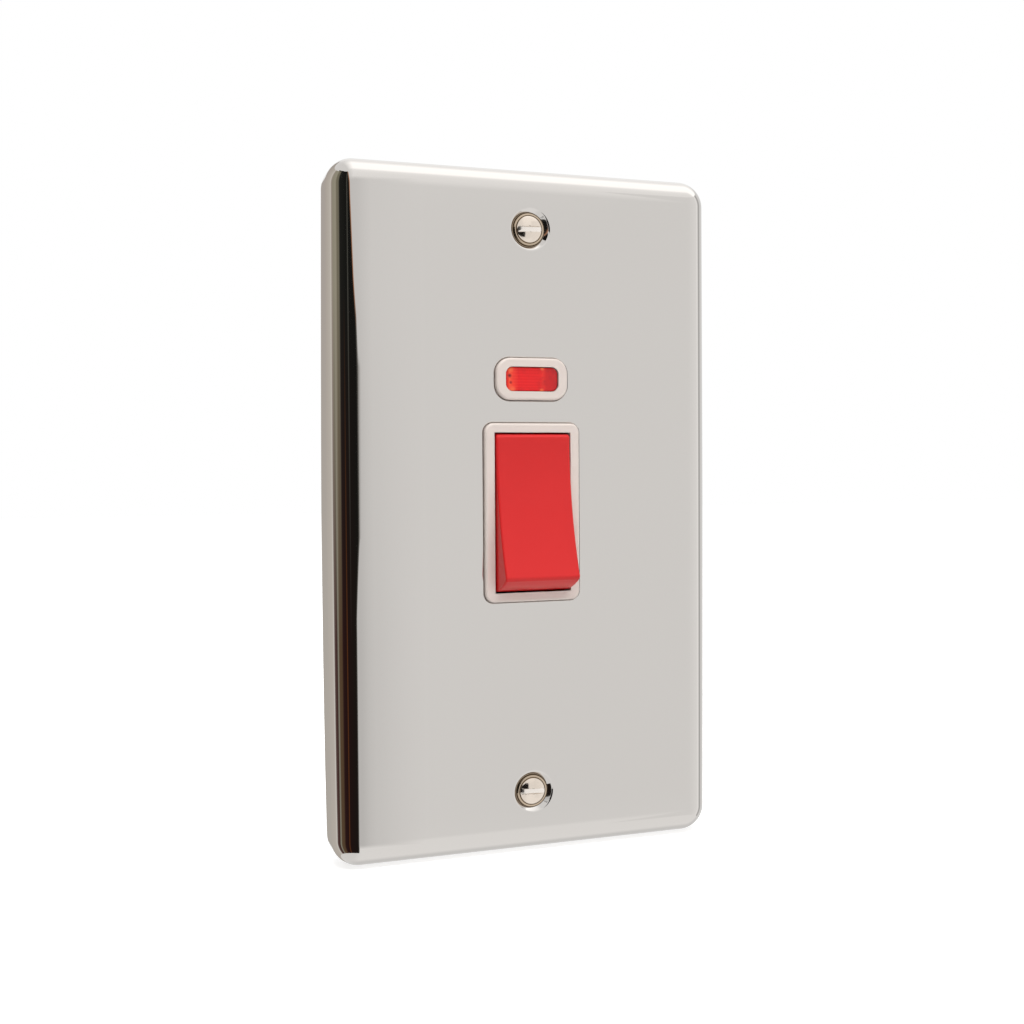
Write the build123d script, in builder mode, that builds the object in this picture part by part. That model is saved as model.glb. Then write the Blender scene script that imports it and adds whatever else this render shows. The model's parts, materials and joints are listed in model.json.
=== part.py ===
from build123d import *
import os
from math import cos, radians, sin, sqrt

# Cooker switch: a double-pole rocker switch with a neon indicator, on a tall pressed-metal wall plate.
# Millimetres. Seen from the front, +X is right and +Z is up; +Y runs into the wall.
# The origin is the centre of the plate's back rim, in the plane of the wall.
# The rocker is drawn OFF: its lower end stands out and both poles are open.

# Clearances
FIT = 0.1                   # between pieces that are assembled and stay put
RUNNING = 0.05              # radial, around a pin that turns or slides
ROCKER_GAP = 0.3            # beside the rocker in its well
END_GAP = 0.45              # beyond the rocker's ends
CONTACT_GAP = 0.08          # left between the contact tips when the switch is on
PLUNGER_GAP = 0.1           # left between a plunger and its beam at mid-travel
ROOM = 0.3                  # around strips, beams and cheeks inside the housing

# Wall plate, a shallow pressed tray with an open back
PLATE_WIDTH = 87.0
PLATE_HEIGHT = 147.0
PLATE_DEPTH = 10.0
PLATE_SHEET = 1.2
PLATE_EDGE = 5.5            # rounding from the face to the sides
FACE_CORNER = 0.3           # corner left on the flat face
FIXING_CENTRES = 120.6
FIXING_HOLE_RADIUS = 2.1
DIMPLE_RADIUS = 4.4         # mouth of the pressed 90 degree dimple
DIMPLE_BLEND = 0.6

# Fixing screws, M3.5 with slotted heads, domed in front and countersunk behind
HEAD_SINK = 0.05            # top of the dome below the plate's face
HEAD_DOME = 0.5
HEAD_BEVEL = 0.2
FIXING_CORE_RADIUS = 1.5
FIXING_THREAD_RADIUS = 1.75
FIXING_NECK = 2.2           # plain neck between the cone and the thread
FIXING_THREAD = 20.0
FIXING_SLOT = 1.2
FIXING_SLOT_DEPTH = 0.45
FIXING_SLOT_TURNS = (3.0, -3.0)
POINT_CHAMFER = 0.5

# Rocker, a hollow moulding that turns about +X
ROCKER_WIDTH = 16.8
ROCKER_REACH = 17.05        # radius of both ends about the pivot
ROCKER_LIP = 7.3            # end lips in front of the pivot
ROCKER_DISH = 1.45          # hollow of the front face below its lips
ROCKER_SKIRT = 4.5          # back of the skirt behind the pivot
ROCKER_WALL = 1.6
ROCKER_BLEND = 0.45
LIP_BLEND = 0.9
ROCKER_TILT = 10.5          # to each side of its mid position
PIVOT_DEPTH = 3.9           # pivot behind the front of the rim
TRUNNION_RADIUS = 1.6
TRUNNION_LENGTH = 2.2

# Front moulding, with the rims that show through the plate
RIM_PROUD = 0.9
RIM_SIDE = 2.1
RIM_END = 1.97
RIM_CORNER = 2.0
RIM_BLEND = 0.5
FLANGE = 2.0
CHEEK = 2.4                 # bearing cheeks beside the rocker
CHEEK_HALF_HEIGHT = 5.0
CHEEK_COVER = 1.5           # material around the bearing
NEON_HEIGHT = 28.4
NEON_SIDE = 2.1
NEON_END = 1.85
NEON_CORNER = 3.3

# Neon indicator
LENS_WIDTH = 11.9
LENS_HEIGHT = 5.05
LENS_CORNER = 1.5
LENS_SUNK = 0.3             # front of the lens behind the front of its rim
LENS_STEP = 1.0             # flange around the lens, behind the rim
LENS_BLEND = 0.3
LENS_RIBS = 7
LENS_RIB_PITCH = 0.62
LENS_RIB_DEPTH = 0.4
LAMP_RADIUS = 2.5
LAMP_LENGTH = 10.0
LAMP_NOSE = 2.2             # rounding of the closed end
LAMP_FRONT = 0.5            # lamp behind the back of the lens
LEAD_RADIUS = 0.5
LEAD_BEND = 1.2
LEAD_SPREAD = 1.2           # leads above and below the lamp's axis
LEAD_EXIT = 2.6             # straight run of the turned-back lead
LEAD_RISE = 3.7             # turned-back lead above the lamp's axis
RESISTOR_RADIUS = 0.95
RESISTOR_LENGTH = 3.5
RESISTOR_BLEND = 0.3
LEAD_TAIL = 2.5             # lead between the resistor and the terminal

# Snap mechanism, one set for each pole
PLUNGER_RADIUS = 2.0
PLUNGER_REACH = 11.4        # tip behind the pivot
PLUNGER_LENGTH = 7.0
PLUNGER_DOME = 1.9
BOSS_WALL = 0.6
BOSS_INSET = 0.3
BOSS_BACK = 8.2             # end of the socket behind the pivot
SOCKET_DEPTH = 9.2
SPRING_WIRE = 0.25
SPRING_SLACK = 0.3          # between the coil and its socket
SPRING_TURNS = 4
BEAM_WIDTH = 4.6
BEAM_SHEET = 1.2
BEAM_ARM = 11.0             # fulcrum to contact tip
BEAM_TAIL = 9.0
BEAM_CORNER = 1.2
BEAM_TILT = 8.0             # to each side of its mid position
SADDLE_RISE = 1.5
TIP_RADIUS = 1.5
TIP_HEIGHT = 0.8
TIP_DOME = 0.5

# Terminals
STRIP_WIDTH = 5.0
STRIP_SHEET = 1.2
SADDLE_LAP = 1.6            # feed strip past the fulcrum
TIP_LAP = 0.9               # load strip past its contact tip
TERMINAL_WIDTH = 11.0
TERMINAL_DEPTH = 11.0
TERMINAL_LENGTH = 13.0
TERMINAL_CORNER = 0.8
TERMINAL_SHIFT = 5.0        # from its beam's middle to the block's
TERMINAL_STANDOFF = 2.5     # beyond the end of the beam
BORE_RADIUS = 3.3
BORE_WALL = 1.7
BORE_END = 1.5              # wall at the blind end
SCREW_RADIUS = 1.95
SCREW_PITCH = 6.0
SCREW_TRAVEL = 5.0          # head off the block while the terminal is open
SCREW_HEAD = 2.0
SCREW_HEAD_RADIUS = 2.6
SCREW_SLOT = 0.9
SCREW_SLOT_DEPTH = 1.0
SCREW_SHORT = 0.2           # tip short of the cable bore

# Rear housing
HOUSING_WALL = 2.0
HOUSING_BLEND = 0.8
BODY_CORNER = 2.0
WELL_COVER = 0.6            # housing behind an open screw's head
BANK_GROOVE = 4.0
ENTRY_ROOM = 0.4            # cable entry around the terminal's bore
ENTRY_MOUTH = 1.0
LAMP_SIDE = 2.0             # lamp chamber beyond the leads
LAMP_TOP = 1.2
RIB_SHEET = 1.4             # stiffening ribs between the terminal banks
RIB_RISE = 3.0
RIB_PITCH = 11.0

# Plate fastening
EAR_REACH = 4.4
EAR_EDGE = 4.0
EAR_SHEET = 4.5
EAR_HEIGHT = 22.0
EAR_CORNER = 3.0
EAR_HOLE_RADIUS = 1.7
BUSH_RADIUS = 3.0
BUSH_LENGTH = 4.5
BUSH_CORE_RADIUS = 1.25
BUSH_FLOOR = 0.4
HOUSING_SCREW_RADIUS = 1.2
HOUSING_SCREW_LENGTH = 5.4
HOUSING_HEAD_RADIUS = 2.7
HOUSING_HEAD = 2.0
HOUSING_SLOT = 0.8
HOUSING_SLOT_DEPTH = 0.9

# Earth terminal on the back of the plate
EARTH_DROP = 45.0
EARTH_WIDTH = 9.0
EARTH_DEPTH = 8.0
EARTH_BORE_RADIUS = 2.2
EARTH_BORE_WALL = 1.3
EARTH_SCREW_RADIUS = 1.5
EARTH_HEAD_RADIUS = 2.6
EARTH_HEAD = 2.0

# Depths, from the front of the plate to the back of the housing
front_y = -PLATE_DEPTH
inner_y = front_y + PLATE_SHEET
rim_front_y = front_y - RIM_PROUD
flange_back_y = inner_y + FLANGE
pivot_y = rim_front_y + PIVOT_DEPTH
fulcrum_y = pivot_y + PLUNGER_REACH + PLUNGER_GAP + BEAM_SHEET
feed_strip_y = fulcrum_y + SADDLE_RISE
tip_ball = (TIP_RADIUS**2 + TIP_DOME**2) / (2 * TIP_DOME)
beam_swing = radians(BEAM_TILT)
tip_ball_y = fulcrum_y + (TIP_HEIGHT - tip_ball) * cos(beam_swing) + BEAM_ARM * sin(beam_swing)
fixed_tip_y = tip_ball_y + tip_ball + CONTACT_GAP
load_strip_y = fixed_tip_y + TIP_HEIGHT
terminal_front_y = fulcrum_y
terminal_back_y = terminal_front_y + TERMINAL_DEPTH
bore_y = terminal_front_y + BORE_WALL + BORE_RADIUS
screw_tip_y = bore_y + BORE_RADIUS + SCREW_SHORT
screw_seat_y = terminal_back_y + SCREW_TRAVEL
bank_back_y = screw_seat_y + SCREW_HEAD + WELL_COVER
body_back_y = load_strip_y + STRIP_SHEET + HOUSING_WALL
chamber_back_y = pivot_y + BOSS_BACK + ROOM * 2
ear_back_y = flange_back_y + EAR_SHEET
bush_back_y = inner_y + BUSH_LENGTH
lamp_y = flange_back_y + LAMP_FRONT + LAMP_RADIUS
lamp_floor_y = lamp_y + LAMP_RADIUS + FIT
lens_front_y = rim_front_y + LENS_SUNK

# Widths and heights
well_width = ROCKER_WIDTH + 2 * ROCKER_GAP
well_radius = ROCKER_REACH + END_GAP
rim_width = well_width + 2 * RIM_SIDE
rim_height = 2 * (sqrt(well_radius**2 - PIVOT_DEPTH**2) + RIM_END)
neon_width = LENS_WIDTH + 2 * FIT + 2 * NEON_SIDE
neon_height = LENS_HEIGHT + 2 * FIT + 2 * NEON_END
boss_radius = PLUNGER_RADIUS + BOSS_WALL
pole_x = ROCKER_WIDTH / 2 - boss_radius - BOSS_INSET
terminal_x = pole_x + TERMINAL_SHIFT
fixed_tip_z = BEAM_ARM * cos(beam_swing) + (tip_ball - TIP_HEIGHT) * sin(beam_swing)
terminal_start_z = BEAM_ARM + TIP_RADIUS + TERMINAL_STANDOFF
terminal_end_z = terminal_start_z + TERMINAL_LENGTH
terminal_z = (terminal_start_z + terminal_end_z) / 2
bore_depth = TERMINAL_LENGTH - BORE_END
bore_z = terminal_end_z - bore_depth / 2
body_width = 2 * (terminal_x + TERMINAL_WIDTH / 2 + FIT + HOUSING_WALL)
body_top_z = terminal_end_z + FIT + HOUSING_WALL
bank_start_z = terminal_start_z - FIT - HOUSING_WALL
ear_x = body_width / 2 + EAR_REACH
ear_width = 2 * (ear_x + EAR_EDGE)
ear_height = 2 * (EAR_HEIGHT + EAR_EDGE)
lead_z = terminal_end_z - LEAD_RADIUS - RESISTOR_RADIUS
lamp_low_z = min(lead_z - LEAD_RADIUS, NEON_HEIGHT - LAMP_RADIUS) - FIT
lamp_high_z = NEON_HEIGHT + LEAD_RISE + LAMP_TOP
lamp_width = 2 * (terminal_x + LAMP_SIDE)
lamp_cover_z = (lamp_low_z + lamp_high_z) / 2
lamp_cover_height = lamp_high_z - lamp_low_z + 2 * HOUSING_WALL
lamp_end_x = LAMP_LENGTH / 2


def facing_front(y, x=0, z=0):
    """Plane at depth y, drawn as seen from the front."""
    return Plane(origin=(x, y, z), x_dir=(1, 0, 0), z_dir=(0, -1, 0))


def facing_back(y, x=0, z=0, tilt=0):
    """Plane at depth y that faces the wall, up the same way, and turned by tilt about +X."""
    turn = radians(tilt)
    return Plane(origin=(x, y, z), x_dir=(-1, 0, 0), z_dir=(0, cos(turn), sin(turn)))


def section(y, x=0, z=0, tilt=0):
    """Upright plane across X: local x runs to the back and local y up, turned by tilt about +X."""
    turn = radians(tilt)
    return Plane(origin=(x, y, z), x_dir=(0, cos(turn), sin(turn)), z_dir=(1, 0, 0))


def keep(piece, name):
    """Label a finished piece and write it as one node."""
    piece.label = name
    export_step(piece, f"parts/{name}.step")


rocker_section = section(pivot_y, tilt=-ROCKER_TILT)
rocker_back = facing_back(pivot_y, tilt=-ROCKER_TILT)
rocker_axis = Axis(rocker_back.origin, rocker_back.z_dir)
os.makedirs("parts", exist_ok=True)

# Faceplate: a rounded tray with two pressed dimples and the two apertures
with BuildPart() as faceplate:
    with BuildSketch(facing_front(0)):
        RectangleRounded(PLATE_WIDTH, PLATE_HEIGHT, PLATE_EDGE + FACE_CORNER)
    extrude(amount=PLATE_DEPTH)
    fillet(faceplate.faces().sort_by(Axis.Y)[0].edges(), PLATE_EDGE)
    offset(amount=-PLATE_SHEET, openings=faceplate.faces().sort_by(Axis.Y)[-1])
    dimple_depth = DIMPLE_RADIUS - FIXING_HOLE_RADIUS
    dimple_back_radius = DIMPLE_RADIUS + PLATE_SHEET * (sqrt(2) - 1)
    with Locations(facing_back(inner_y)):
        with GridLocations(0, FIXING_CENTRES, 1, 2):
            Cone(
                dimple_back_radius,
                dimple_back_radius - dimple_depth,
                dimple_depth,
                align=(Align.CENTER, Align.CENTER, Align.MIN),
            )
    with Locations(facing_front(front_y)):
        with GridLocations(0, FIXING_CENTRES, 1, 2):
            CounterSinkHole(FIXING_HOLE_RADIUS, DIMPLE_RADIUS, counter_sink_angle=90)
    front_face = faceplate.faces().filter_by(Plane.XZ).sort_by(Axis.Y)[0]
    fillet(front_face.edges().filter_by(GeomType.CIRCLE).group_by(SortBy.LENGTH)[-1], DIMPLE_BLEND)
    with BuildSketch(facing_front(front_y)):
        RectangleRounded(rim_width + 2 * FIT, rim_height + 2 * FIT, RIM_CORNER + FIT)
        with Locations((0, NEON_HEIGHT)):
            RectangleRounded(neon_width + 2 * FIT, neon_height + 2 * FIT, NEON_CORNER + FIT)
    extrude(amount=-PLATE_SHEET, mode=Mode.SUBTRACT)
keep(faceplate.part, "faceplate")

# Fixing screws: slotted heads that sit in the dimples
with BuildPart() as fixing_screws:
    head_y = front_y + HEAD_SINK
    dome_y = head_y + HEAD_DOME
    cone_y = dome_y + HEAD_BEVEL
    cone_radius = DIMPLE_RADIUS - (cone_y - front_y) - FIT
    neck_y = cone_y + cone_radius - FIXING_CORE_RADIUS
    thread_y = neck_y + FIXING_NECK
    point_y = thread_y + FIXING_THREAD
    for height, turn in zip((FIXING_CENTRES / 2, -FIXING_CENTRES / 2), FIXING_SLOT_TURNS):
        with BuildSketch(section(0, z=height)):
            with BuildLine():
                TangentArc((head_y, 0), (dome_y, cone_radius - HEAD_BEVEL), tangent=(0, 1))
                Polyline(
                    (dome_y, cone_radius - HEAD_BEVEL),
                    (cone_y, cone_radius),
                    (neck_y, FIXING_CORE_RADIUS),
                    (thread_y, FIXING_CORE_RADIUS),
                    (thread_y, FIXING_THREAD_RADIUS),
                    (point_y, FIXING_THREAD_RADIUS),
                    (point_y + POINT_CHAMFER, FIXING_THREAD_RADIUS - POINT_CHAMFER),
                    (point_y + POINT_CHAMFER, 0),
                    (head_y, 0),
                )
            make_face()
        revolve(axis=Axis((0, 0, height), (0, 1, 0)))
        with BuildSketch(facing_front(head_y, z=height)):
            Rectangle(2 * cone_radius, FIXING_SLOT, rotation=turn)
        extrude(amount=-FIXING_SLOT_DEPTH, mode=Mode.SUBTRACT)
keep(fixing_screws.part, "fixing_screws")

# Weld bushes: threaded posts behind the plate that take the housing screws
with BuildPart() as weld_bushes:
    with BuildSketch(facing_back(inner_y)):
        with GridLocations(2 * ear_x, 2 * EAR_HEIGHT, 2, 2):
            Circle(BUSH_RADIUS)
    extrude(amount=BUSH_LENGTH)
    with Locations(facing_back(bush_back_y)):
        with GridLocations(2 * ear_x, 2 * EAR_HEIGHT, 2, 2):
            Hole(BUSH_CORE_RADIUS, depth=BUSH_LENGTH - BUSH_FLOOR)
keep(weld_bushes.part, "weld_bushes")

# Front moulding: flange behind the plate, two rims through it, bearing cheeks behind
with BuildPart() as front_moulding:
    with BuildSketch(facing_back(inner_y)):
        RectangleRounded(ear_width, ear_height, EAR_CORNER)
        RectangleRounded(body_width, 2 * body_top_z, BODY_CORNER)
        with Locations((0, lamp_cover_z)):
            RectangleRounded(lamp_width + 2 * HOUSING_WALL, lamp_cover_height, BODY_CORNER)
    extrude(amount=FLANGE)
    with BuildSketch(facing_front(inner_y)):
        RectangleRounded(rim_width, rim_height, RIM_CORNER)
        with Locations((0, NEON_HEIGHT)):
            RectangleRounded(neon_width, neon_height, NEON_CORNER)
    extrude(amount=PLATE_SHEET + RIM_PROUD)
    fillet(front_moulding.faces().sort_by(Axis.Y)[0:2].edges(), RIM_BLEND)
    with BuildSketch(facing_back(flange_back_y)):
        with GridLocations(well_width + CHEEK, 0, 2, 1):
            Rectangle(CHEEK, 2 * CHEEK_HALF_HEIGHT)
    extrude(amount=pivot_y - flange_back_y + TRUNNION_RADIUS + CHEEK_COVER)
    with BuildSketch(section(pivot_y)):
        Circle(well_radius)
    extrude(amount=well_width / 2, both=True, mode=Mode.SUBTRACT)
    with BuildSketch(section(pivot_y)):
        Circle(TRUNNION_RADIUS + RUNNING)
    extrude(amount=ROCKER_WIDTH / 2 + TRUNNION_LENGTH + FIT, both=True, mode=Mode.SUBTRACT)
    with BuildSketch(facing_back(rim_front_y)):
        with Locations((0, NEON_HEIGHT)):
            RectangleRounded(LENS_WIDTH + 2 * FIT, LENS_HEIGHT + 2 * FIT, LENS_CORNER + FIT)
    extrude(amount=flange_back_y - rim_front_y, mode=Mode.SUBTRACT)
    with BuildSketch(facing_back(inner_y)):
        with Locations((0, NEON_HEIGHT)):
            RectangleRounded(
                LENS_WIDTH + 2 * (LENS_STEP + FIT),
                LENS_HEIGHT + 2 * (LENS_STEP + FIT),
                LENS_CORNER + LENS_STEP + FIT,
            )
    extrude(amount=FLANGE, mode=Mode.SUBTRACT)
    with Locations(facing_front(inner_y)):
        with GridLocations(2 * ear_x, 2 * EAR_HEIGHT, 2, 2):
            Hole(BUSH_RADIUS + FIT, depth=FLANGE)
keep(front_moulding.part, "front_moulding")


def rocker_profile(back, inset=0):
    """Section of the rocker: dished front, round ends about the pivot, and a straight back."""
    lip_z = sqrt(ROCKER_REACH**2 - ROCKER_LIP**2)
    back_z = sqrt(ROCKER_REACH**2 - back**2)
    with BuildSketch(rocker_section) as profile:
        with BuildLine():
            ThreePointArc((-ROCKER_LIP, lip_z), (ROCKER_DISH - ROCKER_LIP, 0), (-ROCKER_LIP, -lip_z))
            ThreePointArc((-ROCKER_LIP, -lip_z), (0, -ROCKER_REACH), (back, -back_z))
            Line((back, -back_z), (back, back_z))
            ThreePointArc((back, back_z), (0, ROCKER_REACH), (-ROCKER_LIP, lip_z))
        make_face()
        if inset:
            offset(amount=-inset, kind=Kind.INTERSECTION)
    return profile.sketch


rocker_outside = rocker_profile(ROCKER_SKIRT)
rocker_inside = rocker_profile(ROCKER_SKIRT + 2 * ROCKER_WALL, ROCKER_WALL)

# Rocker: hollow, with a trunnion on each side and two sockets for the plungers
with BuildPart() as rocker:
    extrude(rocker_outside, amount=ROCKER_WIDTH / 2, both=True)
    skirt_edges = rocker.faces().sort_by(rocker_axis)[-1].edges()
    fillet(rocker.edges().filter_by(Axis.X) - skirt_edges, LIP_BLEND)
    skirt_edges = rocker.faces().sort_by(rocker_axis)[-1].edges()
    side_edges = rocker.faces().filter_by(Plane.YZ).edges()
    fillet(side_edges - skirt_edges, ROCKER_BLEND)
    extrude(rocker_inside, amount=ROCKER_WIDTH / 2 - ROCKER_WALL, both=True, mode=Mode.SUBTRACT)
    boss_front = ROCKER_LIP - ROCKER_DISH - ROCKER_WALL / 2
    with BuildSketch(rocker_back.offset(-boss_front)):
        with GridLocations(2 * pole_x, 0, 2, 1):
            Circle(boss_radius)
    extrude(amount=boss_front + BOSS_BACK)
    with Locations(rocker_back.offset(BOSS_BACK)):
        with GridLocations(2 * pole_x, 0, 2, 1):
            Hole(PLUNGER_RADIUS + RUNNING, depth=SOCKET_DEPTH)
    for side in (-1, 1):
        with BuildSketch(rocker_section.offset(side * (ROCKER_WIDTH / 2 - ROCKER_WALL / 2))):
            Circle(TRUNNION_RADIUS)
        extrude(amount=side * (ROCKER_WALL / 2 + TRUNNION_LENGTH))
keep(rocker.part, "rocker")


def plunger(side):
    """Sprung pin with a domed tip, in a socket of the rocker."""
    with BuildPart() as pin:
        with BuildSketch(rocker_back.offset(PLUNGER_REACH - PLUNGER_LENGTH)):
            with Locations((-side * pole_x, 0)):
                Circle(PLUNGER_RADIUS)
        extrude(amount=PLUNGER_LENGTH)
        fillet(pin.edges().sort_by(rocker_axis)[-1], PLUNGER_DOME)
    return pin.part


def plunger_spring(side):
    """Coil between the socket's floor and the plunger."""
    start = BOSS_BACK - SOCKET_DEPTH + SPRING_WIRE
    height = PLUNGER_REACH - PLUNGER_LENGTH - SPRING_WIRE - start
    coil_radius = PLUNGER_RADIUS - SPRING_SLACK - SPRING_WIRE
    base = rocker_back.from_local_coords((-side * pole_x, 0, start))
    with BuildPart() as coil:
        with BuildLine() as turns:
            Helix(height / SPRING_TURNS, height, coil_radius, base, rocker_back.z_dir)
        with BuildSketch(Plane(origin=turns.line @ 0, z_dir=turns.line % 0)):
            Circle(SPRING_WIRE)
        sweep(path=turns.line, is_frenet=True)
    return coil.part


def contact_beam(side):
    """See-saw strip whose back face rocks on the saddle's edge."""
    with BuildPart() as beam:
        with BuildSketch(facing_back(fulcrum_y, x=side * pole_x, tilt=BEAM_TILT)):
            beam_top = BEAM_ARM + TIP_RADIUS
            with Locations((0, (beam_top - BEAM_TAIL) / 2)):
                RectangleRounded(BEAM_WIDTH, beam_top + BEAM_TAIL, BEAM_CORNER)
        extrude(amount=-BEAM_SHEET)
    return beam.part


def moving_tip(side):
    """Domed contact rivet on the back of the beam."""
    plane = section(fulcrum_y, x=side * pole_x, tilt=BEAM_TILT)
    with BuildPart() as rivet:
        with BuildSketch(plane):
            with BuildLine():
                edge = (TIP_HEIGHT - TIP_DOME, BEAM_ARM + TIP_RADIUS)
                Polyline((TIP_HEIGHT, BEAM_ARM), (0, BEAM_ARM), (0, BEAM_ARM + TIP_RADIUS), edge)
                RadiusArc(edge, (TIP_HEIGHT, BEAM_ARM), tip_ball)
            make_face()
        revolve(axis=Axis(plane.from_local_coords((0, BEAM_ARM)), plane.x_dir))
    return rivet.part


def fixed_tip(side):
    """Flat contact rivet on the front of the load strip."""
    with BuildPart() as rivet:
        with BuildSketch(facing_front(load_strip_y, x=side * pole_x, z=fixed_tip_z)):
            Circle(TIP_RADIUS)
        extrude(amount=TIP_HEIGHT)
    return rivet.part


def terminal_block(side, end, strip_y, strip_end_z):
    """Brass block with a blind cable bore and two screw holes, and the strip that runs to its contact."""
    with BuildPart() as block:
        with BuildSketch(facing_back(terminal_front_y, x=side * terminal_x, z=end * terminal_z)):
            RectangleRounded(TERMINAL_WIDTH, TERMINAL_LENGTH, TERMINAL_CORNER)
        extrude(amount=TERMINAL_DEPTH)
        strip_start_z = end * (terminal_start_z + BORE_END / 2)
        strip_z = (strip_start_z + strip_end_z) / 2
        with BuildSketch(facing_back(strip_y, x=side * pole_x, z=strip_z)):
            Rectangle(STRIP_WIDTH, abs(strip_start_z - strip_end_z))
        extrude(amount=STRIP_SHEET)
        with Locations(Plane(origin=(side * terminal_x, bore_y, end * terminal_end_z), z_dir=(0, 0, end))):
            Hole(BORE_RADIUS, depth=bore_depth)
        with Locations(facing_back(terminal_back_y, x=side * terminal_x, z=end * bore_z)):
            with GridLocations(0, SCREW_PITCH, 1, 2):
                Hole(SCREW_RADIUS + RUNNING, depth=terminal_back_y - bore_y)
    return block.part


def feed_terminal(side):
    """Lower terminal, whose strip carries the saddle that the beam rocks on."""
    block = terminal_block(side, -1, feed_strip_y, SADDLE_LAP)
    with BuildPart() as terminal:
        add(block)
        with BuildSketch(section(fulcrum_y, x=side * pole_x)):
            with BuildLine():
                Polyline(
                    (RUNNING, 0),
                    (SADDLE_RISE + STRIP_SHEET / 2, -SADDLE_LAP),
                    (SADDLE_RISE + STRIP_SHEET / 2, SADDLE_LAP),
                    close=True,
                )
            make_face()
        extrude(amount=STRIP_WIDTH / 2, both=True)
    return terminal.part


def load_terminal(side):
    """Upper terminal, whose strip carries the fixed contact."""
    return terminal_block(side, 1, load_strip_y, fixed_tip_z - TIP_RADIUS - TIP_LAP)


for side, hand in ((-1, "left"), (1, "right")):
    keep(plunger(side), f"plunger_{hand}")
    keep(plunger_spring(side), f"plunger_spring_{hand}")
    keep(contact_beam(side), f"contact_beam_{hand}")
    keep(moving_tip(side), f"moving_tip_{hand}")
    keep(fixed_tip(side), f"fixed_tip_{hand}")
    keep(feed_terminal(side), f"feed_terminal_{hand}")
    keep(load_terminal(side), f"load_terminal_{hand}")

# Terminal screws: backed out, as supplied
with BuildPart() as terminal_screws:
    with BuildSketch(facing_back(screw_tip_y)):
        with GridLocations(2 * terminal_x, 2 * bore_z, 2, 2):
            with GridLocations(0, SCREW_PITCH, 1, 2):
                Circle(SCREW_RADIUS)
    extrude(amount=screw_seat_y - screw_tip_y)
    with BuildSketch(facing_back(screw_seat_y)):
        with GridLocations(2 * terminal_x, 2 * bore_z, 2, 2):
            with GridLocations(0, SCREW_PITCH, 1, 2):
                Circle(SCREW_HEAD_RADIUS)
    extrude(amount=SCREW_HEAD)
    with BuildSketch(facing_back(screw_seat_y + SCREW_HEAD)):
        with GridLocations(2 * terminal_x, 2 * bore_z, 2, 2):
            with GridLocations(0, SCREW_PITCH, 1, 2):
                Rectangle(2 * SCREW_HEAD_RADIUS, SCREW_SLOT)
    extrude(amount=-SCREW_SLOT_DEPTH, mode=Mode.SUBTRACT)
keep(terminal_screws.part, "terminal_screws")

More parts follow.
